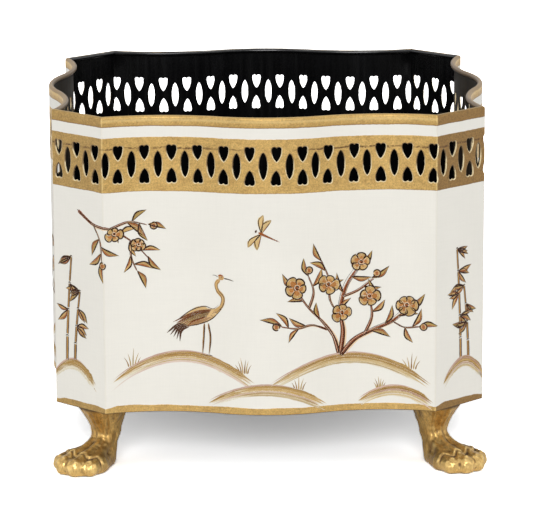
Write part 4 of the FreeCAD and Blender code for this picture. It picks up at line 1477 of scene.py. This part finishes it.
    def bamboo(self, s, h, height, lean):
        """A bamboo stalk in joints, with fans of narrow leaves."""
        def spot(share):
            return np.array((s + lean * share ** 1.5 * height, h + height * share))

        joints = max(4, int(height / 17))
        for i in range(joints):
            low = spot(i / joints)
            top = spot((i + 0.93) / joints)
            wide = 2.3 - 0.9 * i / joints
            for aside, share, *rest in JOINT_STROKES:
                path = np.array((low, (low + top) / 2, top)) + (wide * aside, 0.0)
                self.stroke(path, wide * share, *rest)
            self.line([top + (wide * aside, rise) for aside, rise in JOINT_RING], 0.9, INK, 3)
            if i >= joints // 3:
                side = self.rng.choice((-1, 1))
                for _ in range(self.rng.randint(2, 4)):
                    angle = (0 if side > 0 else 180) + side * self.rng.uniform(-58, 14)
                    self.leaf(top, angle, self.rng.uniform(11, 17), self.rng.choice((OLIVE, TAN)), 0.08)

    def dragonfly(self, s, h, size, angle):
        """A dragonfly: a jointed body and two pairs of clear veined wings."""
        ahead, aside = (size * part for part in heading(angle))
        heart = np.array((s, h))
        for side, (sweep, reach) in itertools.product((-1, 1), ((0.35, 0.5), (-0.18, 0.46))):
            out = (aside * side + ahead * sweep) * reach
            bend = heart + out * 0.55 + ahead * 0.06
            tip = heart + out
            wing = (heart, bend, tip)
            self.stroke(wing, size * 0.16, srgb(206, 172, 112), 0.9, 3, swelling(0.6, 0.25), 0.3)
            self.line((heart, bend + ahead * 0.06, tip), 0.75, INK, 4)
            self.line((heart, bend - ahead * 0.07, tip), 0.6, INK, 4, 0.9)
            self.line((heart, tip - out * 0.08 / reach), 0.4, RUST, 4, 0.8)
        body = (heart + ahead * 0.1, heart, heart - ahead * 0.55)
        self.stroke(body, size * 0.075, RUST, 0.95, 5, swelling(0.1, 0.9), 0.1)
        for i in range(6):
            spot = heart - ahead * (0.1 + 0.07 * i)
            self.line((spot - aside * 0.03, spot + aside * 0.03), 0.5, INK, 6, 0.8)
        head = [heart + ahead * reach for reach in (0.13, 0.17, 0.2)]
        self.stroke(head, size * 0.1, INK, 0.95, 6, ROUND_ENDS, 0.0)

    def crane(self, s, h, height, facing):
        """A crane standing on one hill, its neck in a curve and its wing folded in long feathers."""
        size = height / 60.0
        rng = self.rng

        def draw(spots, width, tint, cover, layer, profile, dry):
            path = [(s + facing * x * size, h + y * size) for x, y in spots]
            self.stroke(path, width if profile is PEN else width * size, tint, cover, layer, profile, dry)

        for row in CRANE_BODY:
            draw(*row)
        for i in range(9):
            share = i / 8
            feather = ((7 - 3.5 * share, 34.5 - 5.5 * share), (-6 - 1.0 * share, 31.5 - 6.5 * share),
                       (-22 + 9 * share + rng.uniform(-1, 1), 23.5 - 3.0 * share + rng.uniform(-0.6, 0.6)))
            draw(feather, 2.3 - 0.5 * share, rng.choice((RUST, srgb(128, 80, 46), TAN)), 0.92, 4, LEAF, 0.2)
            draw(feather, 0.42, INK, 0.85, 5, PEN, 0.05)
        for i in range(5):
            tail = ((-14 + i, 24 - i * 0.8), (-20 + i, 21.5 - i), (-27 + 2.4 * i, 15.5 - 1.6 * i))
            draw(tail, 2.0, srgb(70, 44, 30), 0.9, 4, LEAF, 0.2)
        for row in CRANE_HEAD:
            draw(*row)
        for _ in range(8):
            x = rng.uniform(3, 11)
            y = 27.5 + (x - 3) * 0.55 + rng.uniform(-1, 3)
            draw(((x, y), (x - 1.6, y - 0.9)), 0.4, srgb(128, 80, 46), 0.7, 5, PEN, 0.05)

    def finish(self, name, materials):
        dress(self.parts.build(name, materials), "ivory_paint")


def paint_front(materials):
    """Garden on the front sheet: hills, a crane, a flowering shrub, bamboo and a dragonfly."""
    painter = Painter(11)
    right = PLAN.panel_starts[1]
    left_hill = painter.hill(62.0, 24.0, 116.0, 24.0)
    shrub_hill = painter.hill(190.0, 22.0, 130.0, 24.0)
    low_hill = painter.hill(126.0, 8.0, 96.0, 16.0)
    small_hill = painter.hill(226.0, 8.0, 60.0, 11.5)
    near_hill = painter.hill(-34.0, 21.0, 50.0, 17.0)
    far_hill = painter.hill(right + 33.0, 20.0, 50.0, 18.0)
    painter.crane(76.0, left_hill(76.0), 62.0, 1)
    painter.plant(182.0, shrub_hill(182.0), 1.0, 1, *SHRUB)
    painter.dragonfly(122.0, 141.0, 28.0, 155.0)
    painter.plant(-26.0, 154.0, 1.0, 1, *SPRAY)
    for place, ground, height, lean in (
        (-42.0, near_hill, 84.0, 0.08),
        (-33.0, near_hill, 56.0, 0.12),
        (right + 29.0, far_hill, 88.0, -0.06),
        (right + 38.0, far_hill, 58.0, -0.1),
    ):
        painter.bamboo(place, ground(place), height, lean)
    for place, ground, size in (
        (22.0, left_hill, 15.0),
        (108.0, left_hill, 14.0),
        (150.0, low_hill, 14.0),
        (238.0, shrub_hill, 15.0),
        (214.0, small_hill, 11.0),
    ):
        painter.grass(place, ground(place), size)
    painter.finish("garden_front", materials)


def paint_wall(panel, seed):
    """Garden on another wall, with the same motifs in another order. Gives its painter."""
    painter = Painter(seed)
    rng = painter.rng
    start, end = PLAN.panel_starts[panel:panel + 2]
    flip = rng.choice((True, False))

    def across(share):
        return start + (end - start) * (1 - share if flip else share)

    shrub_hill = painter.hill(across(0.27), 24.0, 116.0, 22.0)
    crane_hill = painter.hill(across(0.73), 22.0, 112.0, 22.0)
    low_hill = painter.hill(across(0.5), 8.0, 98.0, 15.0)
    painter.plant(across(0.3), shrub_hill(across(0.3)), rng.uniform(0.9, 1.0), -1 if flip else 1, *SHRUB)
    painter.crane(across(0.72), crane_hill(across(0.72)), rng.uniform(52, 60), 1 if flip else -1)
    painter.dragonfly(across(0.55), 138.0, 20.0, rng.uniform(0, 360))
    for share, ground in ((0.12, shrub_hill), (0.47, low_hill), (0.86, crane_hill)):
        painter.grass(across(share), ground(across(share)), 12.0)
    return painter


def paint_garden(materials):
    """The painted garden round all four walls, with bamboo on the canted corners."""
    paint_front(materials)
    paint_wall(2, 23).finish("garden_right", materials)
    paint_wall(6, 37).finish("garden_left", materials)
    back = paint_wall(4, 41)
    for panel in (3, 5):
        middle = (PLAN.panel_starts[panel] + PLAN.panel_starts[panel + 1]) / 2
        ground = back.hill(middle, 21.0, 48.0, 16.0)
        back.bamboo(middle - 6.0, ground(middle - 6.0), 86.0, 0.06)
        back.bamboo(middle + 5.0, ground(middle + 5.0), 58.0, 0.1)
    back.finish("garden_back", materials)


def place_camera():
    """Camera as in the photo, a little above the planter and nearly square to its front wall."""
    data = bpy.data.cameras.new("camera")
    data.lens = CAMERA_LENS
    data.sensor_width = 36.0
    data.sensor_fit = "HORIZONTAL"
    data.clip_start = 0.1
    data.clip_end = 50.0
    camera = bpy.data.objects.new("camera", data)
    bpy.context.scene.collection.objects.link(camera)
    yaw = Matrix.Rotation(-CAMERA_YAW, 4, "Z")
    pitch = Matrix.Rotation(math.pi / 2 - CAMERA_PITCH, 4, "X")
    roll = Matrix.Rotation(CAMERA_ROLL, 4, "Z")
    camera.matrix_world = Matrix.Translation(CAMERA_PLACE) @ yaw @ pitch @ roll
    bpy.context.scene.camera = camera


def build_floor():
    """Plain pale ground under the planter."""
    parts = MeshParts()
    corners = ((-1, -1), (1, -1), (1, 1), (-1, 1))
    points = [(x * FLOOR_REACH, y * FLOOR_REACH, FLOOR_LEVEL) for x, y in corners]
    parts.add(points, [(0, 1, 2, 3)], 0, [(0.0, 0.0, 1.0)] * 4)
    n = Nodes("floor")
    mirrored = n.most(n.ray("Glossy"), n.ray("Transmission")) * FLOOR_MIRRORED
    shade = n.most(n.ray("Camera") * FLOOR_SEEN, mirrored, FLOOR_COLOUR)
    matt = n.feed(n.node("ShaderNodeBsdfDiffuse"), {"Color": n.joined(shade, shade, shade)})
    glow = n.feed(n.node("ShaderNodeEmission"), {"Strength": n.ray("Camera") * FLOOR_GLOW})
    both = n.feed(n.node("ShaderNodeAddShader"), {0: matt, 1: glow})
    parts.build("floor", [n.show("ShaderNodeOutputMaterial", both)])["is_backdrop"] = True


def light_the_stage():
    """Even light from all round, a key from the front, and soft lights from each side and above."""
    n = Nodes("studio", "worlds")
    seen = n.most(n.ray("Camera"), n.ray("Glossy"), n.ray("Transmission"))
    strength = n.ranged(seen, 0.0, 1.0, WORLD_STRENGTH, 1.0)
    sky = n.feed(n.node("ShaderNodeBackground"), {"Strength": strength})
    bpy.context.scene.world = n.show("ShaderNodeOutputWorld", sky)
    for name, aim, power, angle in SUNS:
        data = bpy.data.lights.new(name, "SUN")
        data.energy = power
        data.angle = math.radians(angle)
        light = bpy.data.objects.new(name, data)
        bpy.context.scene.collection.objects.link(light)
        light.rotation_euler = Vector(aim).to_track_quat("-Z", "Y").to_euler()


def as_lists(value):
    """Plain lists and numbers for JSON."""
    if isinstance(value, dict):
        return {key: as_lists(item) for key, item in value.items()}
    if isinstance(value, (list, tuple, Vector)):
        return [as_lists(item) for item in value]
    return value


def main():
    materials = [wall_paint(), cut_edge(), black_gloss()]
    for node, panels in SHEET_PANELS.items():
        build_sheet(node, panels, materials)
    build_rolled_rim([rolled_paint()])
    build_feet([cast_gold()])
    paint_garden([brushed_paint()])
    zinc = zinc_steel()
    plain = {"base_pan": materials[BLACK_SLOT], "foot_washers": zinc, "foot_screws": zinc}
    for name, material in plain.items():
        piece = bpy.data.objects[name]
        piece.data.materials.clear()
        piece.data.materials.append(material)
    build_floor()
    light_the_stage()
    place_camera()
    bpy.context.scene.view_settings.view_transform = "Standard"
    sizes = {"cad": cad_bounds, "all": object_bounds()}
    as_lists(sizes)


main()
